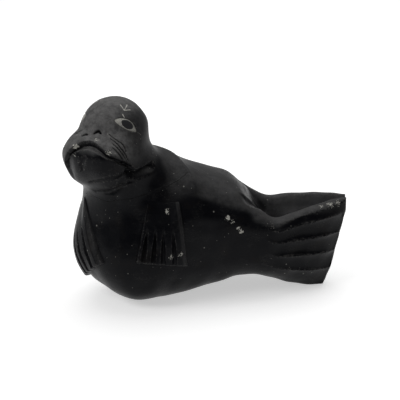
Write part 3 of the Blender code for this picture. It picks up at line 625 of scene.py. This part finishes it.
def fore_flipper(points, normals, top, down, outward, length, tilt, size):
    """A fore flipper's outer and inner faces and its outward normals: a fan-shaped slab on the skin.

    It thickens downwards, has a chamfered rear edge and V-shaped grooves between its digits. The grid's two
    parameters are the shares across and down.
    """
    top = np.array(top) / 100 * np.array([LENGTH, TRUNK_WIDTH, HEIGHT])
    outward = unit(outward)
    down = unit(np.asarray(down) - np.dot(down, outward) * outward)
    aft = np.cross(outward, down)
    s, t = np.meshgrid(np.linspace(-1, 1, FLIPPER_GRID), np.linspace(0, 1, FLIPPER_GRID), indexing="ij")
    half = (size.flipper_top_width + (size.flipper_low_width - size.flipper_top_width) * t) / 2
    a = s * half
    b = t * (length + tilt * a)
    under = skin_height(points, normals, top, aft, down, outward, a, b)
    rise = smoothstep(0.0, 0.5 - 0.35 * smoothstep(0.3, 1.0, s), t)
    thick = size.flipper_thickness * (0.25 + 0.75 * t) * rise
    groove_half = size.groove_width / 2 * (0.3 + 0.7 * smoothstep(0.4, 0.9, t))
    cut = np.zeros_like(a)
    for place in DIGIT_GROOVES:
        gap = np.clip(np.abs(a - place * half) / groove_half, 0, 1)
        cut = np.maximum(cut, (1 - gap) ** 0.6 * size.groove_depth * smoothstep(0.4, 0.72, t))
    rim = np.minimum(half * (1 - np.abs(s)), length * (1 - t))
    rounding = FLIPPER_EDGE_ROUNDING * (1 - np.sqrt(1 - (1 - np.clip(rim / FLIPPER_EDGE_ROUNDING, 0, 1)) ** 2))
    rounding += 1.2 * FLIPPER_EDGE_ROUNDING * (1 - smoothstep(0, 0.12, t))
    bevel = 0.45 * size.flipper_thickness * t * np.clip(1 - half * (1 - s) / FLIPPER_CHAMFER_WIDTH, 0, 1)
    place = top + a[..., None] * aft + b[..., None] * down
    outer = place + (under + thick - cut - bevel - rounding)[..., None] * outward
    inner = place + (under - FLIPPER_ROOT_DEPTH)[..., None] * outward
    facing = np.cross(np.gradient(outer, axis=0), np.gradient(outer, axis=1))
    facing /= np.linalg.norm(facing, axis=-1, keepdims=True) + 1e-12
    return outer, inner, facing * np.sign((facing @ outward).sum())


def measures(sizes):
    """The panel's lengths in millimetres, as pairs of a name and a number."""
    return tuple((name, getattr(sizes, name) / MM) for name in CarvingSizes.__annotations__)


@lru_cache(maxsize=1)
def carving(pairs):
    """The body's skin, the fore flippers' faces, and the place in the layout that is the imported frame's origin."""
    size = SimpleNamespace(**dict(pairs))
    points, normals, strokes = carved_body(size)
    flippers = {name: fore_flipper(points, normals, *layout, size) for name, layout in FORE_FLIPPERS.items()}
    skin = np.vstack([points.reshape(-1, 3)] + [faces[0].reshape(-1, 3) for faces in flippers.values()])
    low, high = skin.min(axis=0), skin.max(axis=0)
    origin = np.array([(low[0] + high[0]) / 2, (low[1] + high[1]) / 2, low[2] + BASE_CUT])
    return SimpleNamespace(size=size, points=points, normals=normals, strokes=strokes, flippers=flippers, skin=skin,
                           origin=origin)


def bend_of(points, normals, closed_round=True, reach=2):
    """How sharply the surface bends at each point, per mm: above zero on edges, below zero in hollows."""
    padded = np.pad(points, ((reach, reach), (0, 0), (0, 0)), mode="edge")
    along = (padded[2 * reach:] + padded[:-2 * reach]) / 2 - points
    if closed_round:
        before, after = np.roll(points, reach, 1), np.roll(points, -reach, 1)
    else:
        padded = np.pad(points, ((0, 0), (reach, reach), (0, 0)), mode="edge")
        before, after = padded[:, :-2 * reach], padded[:, 2 * reach:]
    span = np.linalg.norm(after - before, axis=-1) / 2
    return -2 * (((before + after) / 2 - points + along) * normals).sum(-1) / (span**2 + 0.05)


def wear_and_sheen(points, normals):
    """Painted sheen, with the polish dulled as by rubbed-off wax: lighter on the top of the head, the brow and the
    muzzle most, then on whatever faces up, as if lit from above.
    """
    bearing, height = bearing_and_height(points)
    ahead = np.cos(np.radians(bearing))
    degrees, edge = np.array(LIP_EDGE).T
    on_head = smoothstep(0.7, 0.82, points[..., 2] / HEIGHT)
    over_lip = smoothstep(-2, 6, height - np.interp(bearing, degrees, edge))
    face = on_head * over_lip * (0.3 + 0.7 * smoothstep(0.25, 0.9, ahead))
    crown = on_head * smoothstep(0.45, 0.9, normals[..., 2])
    # Painted sheen: whatever faces up is made lighter, as under the overhead light.
    upward = 0.27 * smoothstep(0.5, 0.7, normals[..., 2])
    return np.maximum(np.maximum(face, crown), upward)


def to_frame(points, origin):
    """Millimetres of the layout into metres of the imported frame, nothing below the surface it stands on."""
    placed = points - origin
    placed[..., 2] = np.maximum(placed[..., 2], 0.0)
    return placed * MM


# Meshes

def mesh_piece(name, vertices, faces, attributes, material):
    """A smooth-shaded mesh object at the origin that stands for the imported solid."""
    mesh = bpy.data.meshes.new(name)
    mesh.from_pydata(vertices.tolist(), [], faces)
    mesh.update()
    for attribute, values in attributes.items():
        layer = mesh.attributes.new(attribute, "FLOAT", "POINT")
        layer.data.foreach_set("value", np.asarray(values, np.float32).ravel())
    mesh.polygons.foreach_set("use_smooth", np.ones(len(mesh.polygons), bool))
    mesh.set_sharp_from_angle(angle=np.radians(SHARP_ANGLE))
    mesh.materials.append(material)
    piece = bpy.data.objects.new(name, mesh)
    bpy.context.scene.collection.objects.link(piece)
    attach(piece, "root")
    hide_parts("seal")
    return piece


def grid_faces(rows, columns, closed_round, start=0, flip=False):
    """The quads of a grid of points, as an array of corner numbers."""
    i, j = np.meshgrid(np.arange(rows - 1), np.arange(columns if closed_round else columns - 1), indexing="ij")
    k = (j + 1) % columns
    quads = np.stack([i * columns + j, i * columns + k, (i + 1) * columns + k, (i + 1) * columns + j], -1)
    quads = quads.reshape(-1, 4) + start
    return quads[:, ::-1] if flip else quads


def main_material(context, made):
    """The stone, made once and shared by the pieces."""
    return bpy.data.materials.get("waxed_soapstone") or waxed_soapstone(context.scene.stone_look, made)


# Finish

def added(tree, kind, inputs=(), **options):
    """Adds a shader node. An input is given a value, or another node's output to be linked to."""
    made = tree.nodes.new(kind)
    for option, value in options.items():
        setattr(made, option, value)
    for key, value in dict(inputs).items():
        if isinstance(value, bpy.types.NodeSocket):
            tree.links.new(value, made.inputs[key])
        else:
            made.inputs[key].default_value = value
    return made


def scalar(tree, operation, first, second=0.0, third=0.0, clamp=False):
    """A Math node's output."""
    made = added(tree, "ShaderNodeMath", {0: first, 1: second, 2: third}, operation=operation, use_clamp=clamp)
    return made.outputs[0]


def largest(tree, masks):
    """The highest of several masks at each point."""
    highest = masks[0]
    for mask in masks[1:]:
        highest = scalar(tree, "MAXIMUM", highest, mask)
    return highest


def vector_of(tree, operation, first, second=(0, 0, 0), output="Vector"):
    """A Vector Math node's output."""
    return added(tree, "ShaderNodeVectorMath", {0: first, 1: second}, operation=operation).outputs[output]


def ramp(tree, value, low, high, to_low=0.0, to_high=1.0):
    """A smooth step of the value between low and high."""
    made = added(tree, "ShaderNodeMapRange", {"Value": value, "From Min": low, "From Max": high, "To Min": to_low,
                                              "To Max": to_high}, interpolation_type="SMOOTHSTEP")
    return made.outputs["Result"]


def noise(tree, vector, scale, detail=3.0, roughness=0.55, distortion=0.0):
    """A Noise Texture's value, from 0 to 1."""
    made = added(tree, "ShaderNodeTexNoise", {"Vector": vector, "Scale": scale, "Detail": detail,
                                              "Roughness": roughness, "Distortion": distortion})
    return made.outputs["Fac"]


def sway(tree, vector, scale, detail, amount):
    """Noise round zero, by up to half the amount to either side."""
    return scalar(tree, "MULTIPLY", scalar(tree, "SUBTRACT", noise(tree, vector, scale, detail), 0.5), amount)


def blend_colour(tree, share, under, over):
    """The colour under, covered by the colour over by the given share."""
    made = added(tree, "ShaderNodeMix", {0: share, 6: under, 7: over}, data_type="RGBA")
    return made.outputs[2]


def new_group(name, inputs, outputs):
    """An empty shader group with named sockets; returns the tree, its input node and its output node."""
    tree = bpy.data.node_groups.new(name, "ShaderNodeTree")
    for socket, kind in inputs.items():
        tree.interface.new_socket(socket, in_out="INPUT", socket_type="NodeSocket" + kind)
    for socket, kind in outputs.items():
        tree.interface.new_socket(socket, in_out="OUTPUT", socket_type="NodeSocket" + kind)
    return tree, tree.nodes.new("NodeGroupInput"), tree.nodes.new("NodeGroupOutput")


def fill_group(tree, group, inputs):
    """Adds a group's node with its inputs filled."""
    return added(tree, "ShaderNodeGroup", inputs, node_tree=group)


def knife_line_group():
    """Mask of a scratch along a straight line: 0 at half its width, 1 at a third of that, with a ragged edge."""
    tree, given, result = new_group("knife_line", {"Place": "Vector", "Start": "Vector", "End": "Vector",
                                                   "Width": "Float", "Raggedness": "Float"}, {"Mask": "Float"})
    run = vector_of(tree, "SUBTRACT", given.outputs["End"], given.outputs["Start"])
    offset = vector_of(tree, "SUBTRACT", given.outputs["Place"], given.outputs["Start"])
    share = scalar(tree, "DIVIDE", vector_of(tree, "DOT_PRODUCT", offset, run, "Value"),
                   vector_of(tree, "DOT_PRODUCT", run, run, "Value"), clamp=True)
    scaled = added(tree, "ShaderNodeVectorMath", {0: run, "Scale": share}, operation="SCALE").outputs["Vector"]
    gap = vector_of(tree, "LENGTH", vector_of(tree, "SUBTRACT", offset, scaled), output="Value")
    ragged = sway(tree, given.outputs["Place"], 2.3, 3.0, given.outputs["Raggedness"])
    half = scalar(tree, "MULTIPLY", given.outputs["Width"], 0.5)
    full = scalar(tree, "MULTIPLY", half, 0.35)
    tree.links.new(ramp(tree, scalar(tree, "ADD", gap, ragged), half, full), result.inputs["Mask"])
    return tree


def chip_patch_group():
    """Mask of a cluster of small chips: noise over a threshold that rises with the distance from the middle."""
    tree, given, result = new_group("chip_patch", {"Place": "Vector", "Middle": "Vector", "Reach": "Float",
                                                   "Share": "Float", "Grain": "Float"}, {"Mask": "Float"})
    offset = vector_of(tree, "SUBTRACT", given.outputs["Place"], given.outputs["Middle"])
    gap = scalar(tree, "DIVIDE", vector_of(tree, "LENGTH", offset, output="Value"), given.outputs["Reach"])
    grain = noise(tree, given.outputs["Place"], given.outputs["Grain"], 4.0, 0.6)
    level = scalar(tree, "MULTIPLY_ADD", scalar(tree, "POWER", gap, 2.0), 0.3,
                   scalar(tree, "SUBTRACT", 0.78, scalar(tree, "MULTIPLY", given.outputs["Share"], 0.5)))
    tree.links.new(ramp(tree, scalar(tree, "SUBTRACT", grain, level), 0.0, 0.05), result.inputs["Mask"])
    return tree


def carved_eye_group():
    """Masks of a carved eye: the pale scraped almond without its pupil, and the dark oval pupil.

    The almond's height over its long axis falls with the share along it, as 1 less its square, to the power 0.7.
    Its lower half is flatter.
    """
    tree, given, result = new_group(
        "carved_eye", {"Place": "Vector", "Middle": "Vector", "Rearward": "Vector", "Upward": "Vector",
                       "Half Length": "Float", "Half Height": "Float"}, {"Pale": "Float", "Pupil": "Float"})
    offset = vector_of(tree, "SUBTRACT", given.outputs["Place"], given.outputs["Middle"])
    near = ramp(tree, vector_of(tree, "LENGTH", offset, output="Value"), 11.0, 9.0)
    wobble = sway(tree, given.outputs["Place"], 1.4, 4.0, 0.16)
    along = scalar(tree, "DIVIDE", vector_of(tree, "DOT_PRODUCT", offset, given.outputs["Rearward"], "Value"),
                   given.outputs["Half Length"])
    across = scalar(tree, "DIVIDE", vector_of(tree, "DOT_PRODUCT", offset, given.outputs["Upward"], "Value"),
                    given.outputs["Half Height"])
    left = scalar(tree, "SUBTRACT", 1.0, scalar(tree, "POWER", along, 2.0), clamp=True)
    lid = scalar(tree, "POWER", left, 0.7)
    off_axis = scalar(tree, "MAXIMUM", across, scalar(tree, "MULTIPLY", across, -1 / LOWER_LID))
    inside = ramp(tree, scalar(tree, "ADD", scalar(tree, "SUBTRACT", lid, off_axis), wobble), -0.04, 0.06)
    oval_along = scalar(tree, "DIVIDE", scalar(tree, "SUBTRACT", along, 0.05), 0.55)
    oval_across = scalar(tree, "DIVIDE", scalar(tree, "SUBTRACT", across, 0.22), 0.64)
    oval = scalar(tree, "SQRT", scalar(tree, "ADD", scalar(tree, "POWER", oval_along, 2.0),
                                       scalar(tree, "POWER", oval_across, 2.0)))
    pupil = ramp(tree, scalar(tree, "ADD", oval, scalar(tree, "MULTIPLY", wobble, 0.8)), 1.05, 0.93)
    inside = scalar(tree, "MULTIPLY", inside, near)
    scraped = ramp(tree, noise(tree, given.outputs["Place"], 1.9, 5.0, 0.7), 0.36, 0.6, 0.35)
    pale = scalar(tree, "MULTIPLY", scalar(tree, "MULTIPLY", inside, scraped), scalar(tree, "SUBTRACT", 1.0, pupil))
    tree.links.new(pale, result.inputs["Pale"])
    tree.links.new(scalar(tree, "MULTIPLY", inside, pupil), result.inputs["Pupil"])
    return tree


def stone_clouds_group():
    """Colour of the polished stone: slow grey clouds, brown stains and fine mottling over black."""
    tree, given, result = new_group("stone_clouds", {"Place": "Vector", "Black": "Color", "Grey": "Color",
                                                     "Brown": "Color"}, {"Color": "Color", "Cloud": "Float"})
    place_in = given.outputs["Place"]
    cloud = ramp(tree, noise(tree, place_in, 0.055, 5.0, 0.62, 0.6), 0.42, 0.68)
    mottle = ramp(tree, noise(tree, place_in, 0.6, 5.0, 0.7), 0.4, 0.75)
    stain = ramp(tree, noise(tree, vector_of(tree, "ADD", place_in, (31.0, 7.0, 12.0)), 0.09, 4.0, 0.6), 0.52, 0.7)
    share = scalar(tree, "MULTIPLY_ADD", mottle, 0.45, scalar(tree, "MULTIPLY", cloud, 0.55), clamp=True)
    colour = blend_colour(tree, share, given.outputs["Black"], given.outputs["Grey"])
    colour = blend_colour(tree, scalar(tree, "MULTIPLY", stain, 0.6), colour, given.outputs["Brown"])
    tree.links.new(colour, result.inputs["Color"])
    tree.links.new(share, result.inputs["Cloud"])
    return tree


def fine_scratches_group():
    """Mask of hair-fine scratches: noise stretched along one way, where it is near its middle value."""
    tree, given, result = new_group("fine_scratches", {"Place": "Vector", "Turn": "Vector", "Share": "Float"},
                                    {"Mask": "Float"})
    turned = added(tree, "ShaderNodeMapping", {"Vector": given.outputs["Place"], "Rotation": given.outputs["Turn"],
                                               "Scale": (0.05, 1.6, 0.8)}).outputs["Vector"]
    line = scalar(tree, "ABSOLUTE", scalar(tree, "SUBTRACT", noise(tree, turned, 1.0, 2.0, 0.5), 0.5))
    patch = ramp(tree, noise(tree, given.outputs["Place"], 0.12, 3.0), 0.5, 0.62)
    hair = ramp(tree, line, 0.012, 0.0)
    tree.links.new(scalar(tree, "MULTIPLY", scalar(tree, "MULTIPLY", hair, patch), given.outputs["Share"]),
                   result.inputs["Mask"])
    return tree


def specks_group():
    """Mask of small pale specks: the few cells of a cell pattern whose middle is near."""
    tree, given, result = new_group("pale_specks", {"Place": "Vector", "Spacing": "Float", "Size": "Float",
                                                    "Share": "Float"}, {"Mask": "Float"})
    cells = added(tree, "ShaderNodeTexVoronoi", {"Vector": given.outputs["Place"], "Scale":
                                                 scalar(tree, "DIVIDE", 1.0, given.outputs["Spacing"])})
    gap = scalar(tree, "MULTIPLY", cells.outputs["Distance"], given.outputs["Spacing"])
    dot = added(tree, "ShaderNodeMapRange", {"Value": gap, "From Min": given.outputs["Size"], "From Max": 0.0})
    pick = added(tree, "ShaderNodeSeparateColor", {"Color": cells.outputs["Color"]}).outputs["Red"]
    kept = scalar(tree, "LESS_THAN", pick, given.outputs["Share"])
    tree.links.new(scalar(tree, "MULTIPLY", dot.outputs["Result"], kept), result.inputs["Mask"])
    return tree


def pale_marks(tree, spot, made):
    """Masks of what is scraped or chipped pale, which is strokes, chips and eyes, and of the eyes' pupils."""
    points, normals, size = made.points, made.normals, made.size
    knife_line, chip_patch, carved_eye = knife_line_group(), chip_patch_group(), carved_eye_group()
    marks, pupils = [], []
    for ends in BROW_STROKES:
        for side in (1, -1):
            start, end = drawn_on_head(points, [(side * b, h) for b, h in ends], 2) - made.origin
            stroke = fill_group(tree, knife_line, {"Place": spot, "Start": start, "End": end, "Width": 0.65,
                                                   "Raggedness": 0.4})
            marks.append(stroke.outputs["Mask"])
    for middle, reach, share, grain in CHIP_PATCHES:
        middle = np.array(middle) / 100 * np.array([LENGTH, TRUNK_WIDTH, HEIGHT])
        middle = on_surface(made.skin, [np.linalg.norm(made.skin - middle, axis=1)] * 2)[0] - made.origin
        chips = fill_group(tree, chip_patch, {"Place": spot, "Middle": middle, "Reach": reach, "Share": share,
                                              "Grain": grain})
        marks.append(chips.outputs["Mask"])
    for side in (1, -1):
        middle, rearward, upward = eye_frame(points, normals, side)
        eye = fill_group(tree, carved_eye, {
            "Place": spot, "Middle": middle - made.origin, "Rearward": rearward, "Upward": upward,
            "Half Length": size.eye_length / 2, "Half Height": size.eye_height / 2})
        marks.append(eye.outputs["Pale"])
        pupils.append(eye.outputs["Pupil"])
    return largest(tree, marks), largest(tree, pupils)


def waxed_soapstone(look, made):
    """Waxed black soapstone: clouds and stains, pale where it is cut or chipped, dusty in the cuts, with a painted
    grey sheen on the head and on what faces up.
    """
    material = bpy.data.materials.new("waxed_soapstone")
    material.use_nodes = True
    tree = material.node_tree
    shader = tree.nodes["Principled BSDF"]
    pale, dust = (*look.pale, 1), (*look.dust, 1)
    spot = added(tree, "ShaderNodeVectorMath", {0: added(tree, "ShaderNodeTexCoord").outputs["Object"],
                                                "Scale": 1 / MM}, operation="SCALE").outputs["Vector"]
    edge, hollow, crack_side, rubbed = (
        added(tree, "ShaderNodeAttribute", attribute_name=name).outputs["Fac"]
        for name in ("worn_edge", "hollow", "crack_side", "wear_and_sheen"))
    # Painted sheen: the grey over the head and upward-facing stone, broken into patches; it also dulls the polish
    # like rubbed-off wax.
    rubbed = scalar(tree, "MULTIPLY", rubbed, ramp(tree, noise(tree, spot, 0.3, 6.0, 0.72), 0.32, 0.66, 0.45))

    clouds = fill_group(tree, stone_clouds_group(), {"Place": spot, "Black": (*look.black, 1),
                                                     "Grey": (*look.grey, 1), "Brown": (*look.brown, 1)})
    marked, pupil = pale_marks(tree, spot, made)
    fine_scratches, pale_specks = fine_scratches_group(), specks_group()
    hairs = largest(tree, [
        fill_group(tree, fine_scratches, {"Place": spot, "Turn": turn, "Share": 0.55}).outputs["Mask"]
        for turn in ((0.3, 0.2, 0.5), (1.1, 0.4, -0.6), (-0.4, 1.2, 0.3))])
    specks = largest(tree, [
        fill_group(tree, pale_specks, {"Place": spot, "Spacing": gap, "Size": radius, "Share": kept}).outputs["Mask"]
        for gap, radius, kept in ((5.0, 0.55, 0.22), (2.1, 0.28, 0.2))])
    wear_grain = noise(tree, spot, 0.9, 5.0, 0.7)
    worn = scalar(tree, "MULTIPLY", edge, ramp(tree, wear_grain, 0.45, 0.7), clamp=True)
    crack_gap = scalar(tree, "ADD", crack_side, sway(tree, spot, 0.35, 4.0, 1.6))
    crack = ramp(tree, scalar(tree, "ABSOLUTE", crack_gap), 0.3, 0.08)
    dusty = scalar(tree, "MULTIPLY", hollow, ramp(tree, noise(tree, spot, 0.5, 4.0, 0.6), 0.45, 0.75), clamp=True)

    colour = clouds.outputs["Color"]
    # The first blend lays the grey of the painted sheen over the clouds.
    for mask, strength, over in (
        (rubbed, 1.0, (*look.wear_and_sheen, 1)), (dusty, 0.12, dust), (worn, 0.6, dust), (hairs, 0.3, dust),
        (crack, 0.75, (0.002, 0.002, 0.002, 1)), (specks, 0.55, pale), (pupil, 1.0, (0.03, 0.03, 0.032, 1)),
        (marked, 0.85, pale),
    ):
        colour = blend_colour(tree, scalar(tree, "MULTIPLY", mask, strength), colour, over)
    tree.links.new(colour, shader.inputs["Base Color"])

    dull = largest(tree, [marked, worn, hairs, dusty, scalar(tree, "MULTIPLY", rubbed, 0.8)])
    smear = scalar(tree, "MULTIPLY_ADD", noise(tree, spot, 0.16, 5.0, 0.65), 0.22,
                   scalar(tree, "MULTIPLY_ADD", clouds.outputs["Cloud"], 0.08, look.polish - 0.13))
    rough = added(tree, "ShaderNodeMix", {0: dull, 2: smear, 3: look.worn}, data_type="FLOAT").outputs[0]
    tree.links.new(rough, shader.inputs["Roughness"])

    tooled = added(tree, "ShaderNodeMapping", {"Vector": spot, "Rotation": (0.4, 0.2, 0.7),
                                               "Scale": (0.5, 1.4, 1.0)}).outputs["Vector"]
    height = scalar(tree, "MULTIPLY_ADD", noise(tree, tooled, 0.35, 4.0, 0.5), 0.09,
                    scalar(tree, "MULTIPLY", noise(tree, spot, 1.7, 4.0, 0.6), 0.035))
    for mask, depth in ((marked, -0.09), (crack, -0.12), (hairs, -0.02), (worn, -0.03)):
        height = scalar(tree, "MULTIPLY_ADD", mask, depth, height)
    bump = added(tree, "ShaderNodeBump", {"Height": height, "Distance": MM, "Strength": 1.0})
    tree.links.new(bump.outputs["Normal"], shader.inputs["Normal"])
    shader.inputs["IOR"].default_value = 1.5
    shader.inputs["Specular IOR Level"].default_value = 0.085
    return material


# Operators

class SEAL_OT_carve_body(bpy.types.Operator):
    """Carves the body: the lofted skin with its mouth, whiskers, eyes and hind flippers"""
    bl_idname = "seal.carve_body"
    bl_label = "Carve Body"

    def execute(self, context):
        made = carving(measures(context.scene.carving_sizes))
        points = made.points
        tail_end = points[0].mean(axis=0)
        rounding = points[0] + (tail_end - points[0]) * 0.12 + np.array([TIP_ROUNDING, 0, 0])
        rows = np.concatenate([rounding[None], points])
        tip = rounding.mean(axis=0) + np.array([0.4 * TIP_ROUNDING, 0, 0])
        crown = points[-1].mean(axis=0) + np.array([0, 0, 0.006 * CROWN_RISE])
        normals = outward_normals(rows)
        bend = bend_of(rows, normals)
        places = curve_through(np.array(CRACK) / 100 * np.array([LENGTH, TRUNK_WIDTH, HEIGHT]), 60)
        path = on_surface(points, [np.linalg.norm(points.reshape(-1, 3) - place, axis=1) for place in places])
        crack, share = distance_to_path(rows, path, normals)
        past_end = (share < 0.005) | (share > 0.995)
        crack = np.where(past_end, FAR_FROM_CRACK, np.clip(crack, -FAR_FROM_CRACK, FAR_FROM_CRACK))
        unmarked = 1 - smoothstep(0.05, 0.4, np.concatenate([made.strokes[:1], made.strokes]))
        attributes = {
            "worn_edge": np.append(smoothstep(0.07, 0.35, bend).ravel(), [0, 0]),
            "hollow": np.append(smoothstep(0.08, 0.5, -bend).ravel(), [0, 0]),
            "crack_side": np.append(crack.ravel(), [FAR_FROM_CRACK, FAR_FROM_CRACK]),
            # Painted sheen on the head and on whatever faces up, kept off the knife strokes so they stay dark.
            "wear_and_sheen": np.append((wear_and_sheen(rows, normals) * unmarked).ravel(), [0.1, 1]),
        }
        here = np.arange(AROUND)
        following = (here + 1) % AROUND
        count = rows.shape[0] * AROUND
        last = count - AROUND
        faces = grid_faces(rows.shape[0], AROUND, True, flip=True).tolist()
        faces += [(count, int(h), int(f)) for h, f in zip(here, following)]
        faces += [(int(last + f), int(last + h), count + 1) for h, f in zip(here, following)]
        vertices = to_frame(np.vstack([rows.reshape(-1, 3), tip, crown]), made.origin)
        mesh_piece("seal_body", vertices, faces, attributes, main_material(context, made))
        return {"FINISHED"}


class SEAL_OT_carve_fore_flippers(bpy.types.Operator):
    """Carves the two fore flippers that lie on the flanks"""
    bl_idname = "seal.carve_fore_flippers"
    bl_label = "Carve Fore Flippers"

    def execute(self, context):
        made = carving(measures(context.scene.carving_sizes))
        for name, (outer, inner, normals) in made.flippers.items():
            rows, columns = outer.shape[:2]
            bend = bend_of(outer, normals, closed_round=False)
            rim = np.concatenate([
                np.arange(columns), np.arange(1, rows) * columns + columns - 1,
                (rows - 1) * columns + np.arange(columns - 2, -1, -1), np.arange(rows - 2, 0, -1) * columns])
            below = rim + rows * columns
            walls = np.stack([rim, np.roll(rim, -1), np.roll(below, -1), below], -1)
            faces = np.concatenate([grid_faces(rows, columns, False),
                                    grid_faces(rows, columns, False, rows * columns, True), walls[:, ::-1]])
            first = np.cross(outer[1, 0] - outer[0, 0], outer[0, 1] - outer[0, 0])
            if first @ normals[0, 0] > 0:
                faces = faces[:, ::-1]
            zero = np.zeros(rows * columns)
            across, down = np.linspace(-1, 1, rows)[:, None], np.linspace(0, 1, columns)
            below_top = smoothstep(0.2, 0.45, down)
            half = (made.size.flipper_top_width * (1 - down) + made.size.flipper_low_width * down) / 2
            # Painted highlight: the chamfered rear strip gets a lighter grey, as where light catches it.
            rear_strip_highlight = smoothstep(1.0, 0.75, half * (1 - across) / FLIPPER_CHAMFER_WIDTH)
            attributes = {
                "worn_edge": np.append((smoothstep(0.15, 0.9, bend) * below_top).ravel(), zero),
                "hollow": np.append(smoothstep(0.1, 0.8, -bend).ravel(), zero),
                "crack_side": np.full(2 * zero.size, FAR_FROM_CRACK),
                "wear_and_sheen": np.append(0.14 * rear_strip_highlight.ravel(), zero),
            }
            vertices = to_frame(np.concatenate([outer.reshape(-1, 3), inner.reshape(-1, 3)]), made.origin)
            mesh_piece(name, vertices, faces.tolist(), attributes, main_material(context, made))
        return {"FINISHED"}


class SEAL_OT_set_stage(bpy.types.Operator):
    """Sets the floor, the soft lamps, the world and the camera"""
    bl_idname = "seal.set_stage"
    bl_label = "Set Stage"

    def execute(self, context):
        look = context.scene.stage_look
        set_camera(context, look)
        set_floor(look)
        set_lamps()
        set_world(context)
        context.scene.view_settings.view_transform = "Standard"
        return {"FINISHED"}


def set_camera(context, look):
    """The camera looks at the middle of the layout, from the photograph's bearing and height."""
    away = Vector((np.sin(look.bearing) * np.cos(look.elevation), -np.cos(look.bearing) * np.cos(look.elevation),
                   np.sin(look.elevation)))
    across = Vector((np.cos(look.bearing), np.sin(look.bearing), 0))
    upwards = away.cross(across)
    middle = Vector((np.array([0.0, 0.0, AIM_HEIGHT]) - carving(measures(context.scene.carving_sizes)).origin) * MM)
    made = bpy.data.cameras.new("camera")
    made.lens = look.focal_length
    made.sensor_width = SENSOR_WIDTH
    made.shift_y = PICTURE_SHIFT
    made.clip_start = 0.01
    camera = bpy.data.objects.new("camera", made)
    turned = Matrix((across, upwards, away)).transposed().to_4x4()
    camera.matrix_world = Matrix.Translation(middle + away * look.distance) @ turned
    context.scene.collection.objects.link(camera)
    context.scene.camera = camera


def set_floor(look):
    """A large pale floor that keeps the carving's shadow."""
    mesh = bpy.data.meshes.new("floor")
    reach = 4.0
    corners = [(-reach, -reach, 0), (reach, -reach, 0), (reach, reach, 0), (-reach, reach, 0)]
    mesh.from_pydata(corners, [], [(0, 1, 2, 3)])
    material = bpy.data.materials.new("pale_floor")
    material.use_nodes = True
    tree = material.node_tree
    shader = tree.nodes["Principled BSDF"]
    shader.inputs["Base Color"].default_value = (*look.floor, 1)
    shader.inputs["Roughness"].default_value = 0.9
    shader.inputs["Specular IOR Level"].default_value = 0.0
    path = added(tree, "ShaderNodeLightPath")
    seen = largest(tree, [path.outputs[name + " Ray"] for name in ("Is Camera", "Is Glossy", "Is Transmission")])
    shader.inputs["Emission Color"].default_value = (1, 1, 1, 1)
    tree.links.new(scalar(tree, "MULTIPLY", seen, 0.5), shader.inputs["Emission Strength"])
    mesh.materials.append(material)
    floor = bpy.data.objects.new("floor", mesh)
    bpy.context.scene.collection.objects.link(floor)


def set_lamps():
    """A broad soft box overhead and a little behind, and a weak one from the left."""
    for name, spot, aim, size, power in (
        ("soft_box_overhead", (0.1, 0.35, 0.9), (0, 0, 0.04), 1.1, 5.0),
        ("soft_box_left", (-0.8, -0.35, 0.75), (-0.03, 0, 0.06), 0.5, 4.0),
    ):
        made = bpy.data.lights.new(name, "AREA")
        made.shape = "SQUARE"
        made.size = size
        made.energy = power
        lamp = bpy.data.objects.new(name, made)
        lamp.location = spot
        lamp.rotation_euler = (Vector(spot) - Vector(aim)).to_track_quat("Z", "Y").to_euler()
        bpy.context.scene.collection.objects.link(lamp)


def set_world(context):
    """White to the camera; to the stone a pale room above that is darker towards the front."""
    world = bpy.data.worlds.new("studio")
    context.scene.world = world
    world.use_nodes = True
    tree = world.node_tree
    tree.nodes.clear()
    path = added(tree, "ShaderNodeLightPath")
    direction = added(tree, "ShaderNodeTexCoord").outputs["Generated"]
    parts = added(tree, "ShaderNodeSeparateXYZ", {"Vector": direction})
    high = ramp(tree, parts.outputs["Z"], 0.1, 0.9)
    behind = ramp(tree, parts.outputs["Y"], -0.2, 0.8)
    room = scalar(tree, "MULTIPLY_ADD", high, 0.3, scalar(tree, "MULTIPLY", behind, 0.3))
    strength = added(tree, "ShaderNodeMix", {0: path.outputs["Is Camera Ray"], 2: room, 3: 1.0},
                     data_type="FLOAT").outputs[0]
    background = added(tree, "ShaderNodeBackground", {"Color": (1, 1, 1, 1), "Strength": strength})
    output = added(tree, "ShaderNodeOutputWorld")
    tree.links.new(background.outputs[0], output.inputs["Surface"])


class SEAL_PT_carving(bpy.types.Panel):
    """Sizes, colours and steps of the carving"""
    bl_idname = "SEAL_PT_carving"
    bl_label = "Stone Seal"
    bl_space_type = "VIEW_3D"
    bl_region_type = "UI"
    bl_category = "Stone Seal"

    def draw(self, context):
        for group in (context.scene.carving_sizes, context.scene.stone_look, context.scene.stage_look):
            column = self.layout.column(align=True)
            for name in group.__annotations__:
                column.prop(group, name)
        for operator in (SEAL_OT_carve_body, SEAL_OT_carve_fore_flippers, SEAL_OT_set_stage):
            self.layout.operator(operator.bl_idname)


CLASSES = (CarvingSizes, StoneLook, StageLook, SEAL_OT_carve_body, SEAL_OT_carve_fore_flippers, SEAL_OT_set_stage,
           SEAL_PT_carving)


def register():
    for made in CLASSES:
        bpy.utils.register_class(made)
    bpy.types.Scene.carving_sizes = PointerProperty(type=CarvingSizes)
    bpy.types.Scene.stone_look = PointerProperty(type=StoneLook)
    bpy.types.Scene.stage_look = PointerProperty(type=StageLook)


def unregister():
    del bpy.types.Scene.stage_look, bpy.types.Scene.stone_look, bpy.types.Scene.carving_sizes
    for made in reversed(CLASSES):
        bpy.utils.unregister_class(made)


def main():
    register()
    bpy.ops.seal.carve_body()
    bpy.ops.seal.carve_fore_flippers()
    bpy.ops.seal.set_stage()


if __name__ == "__main__":
    main()
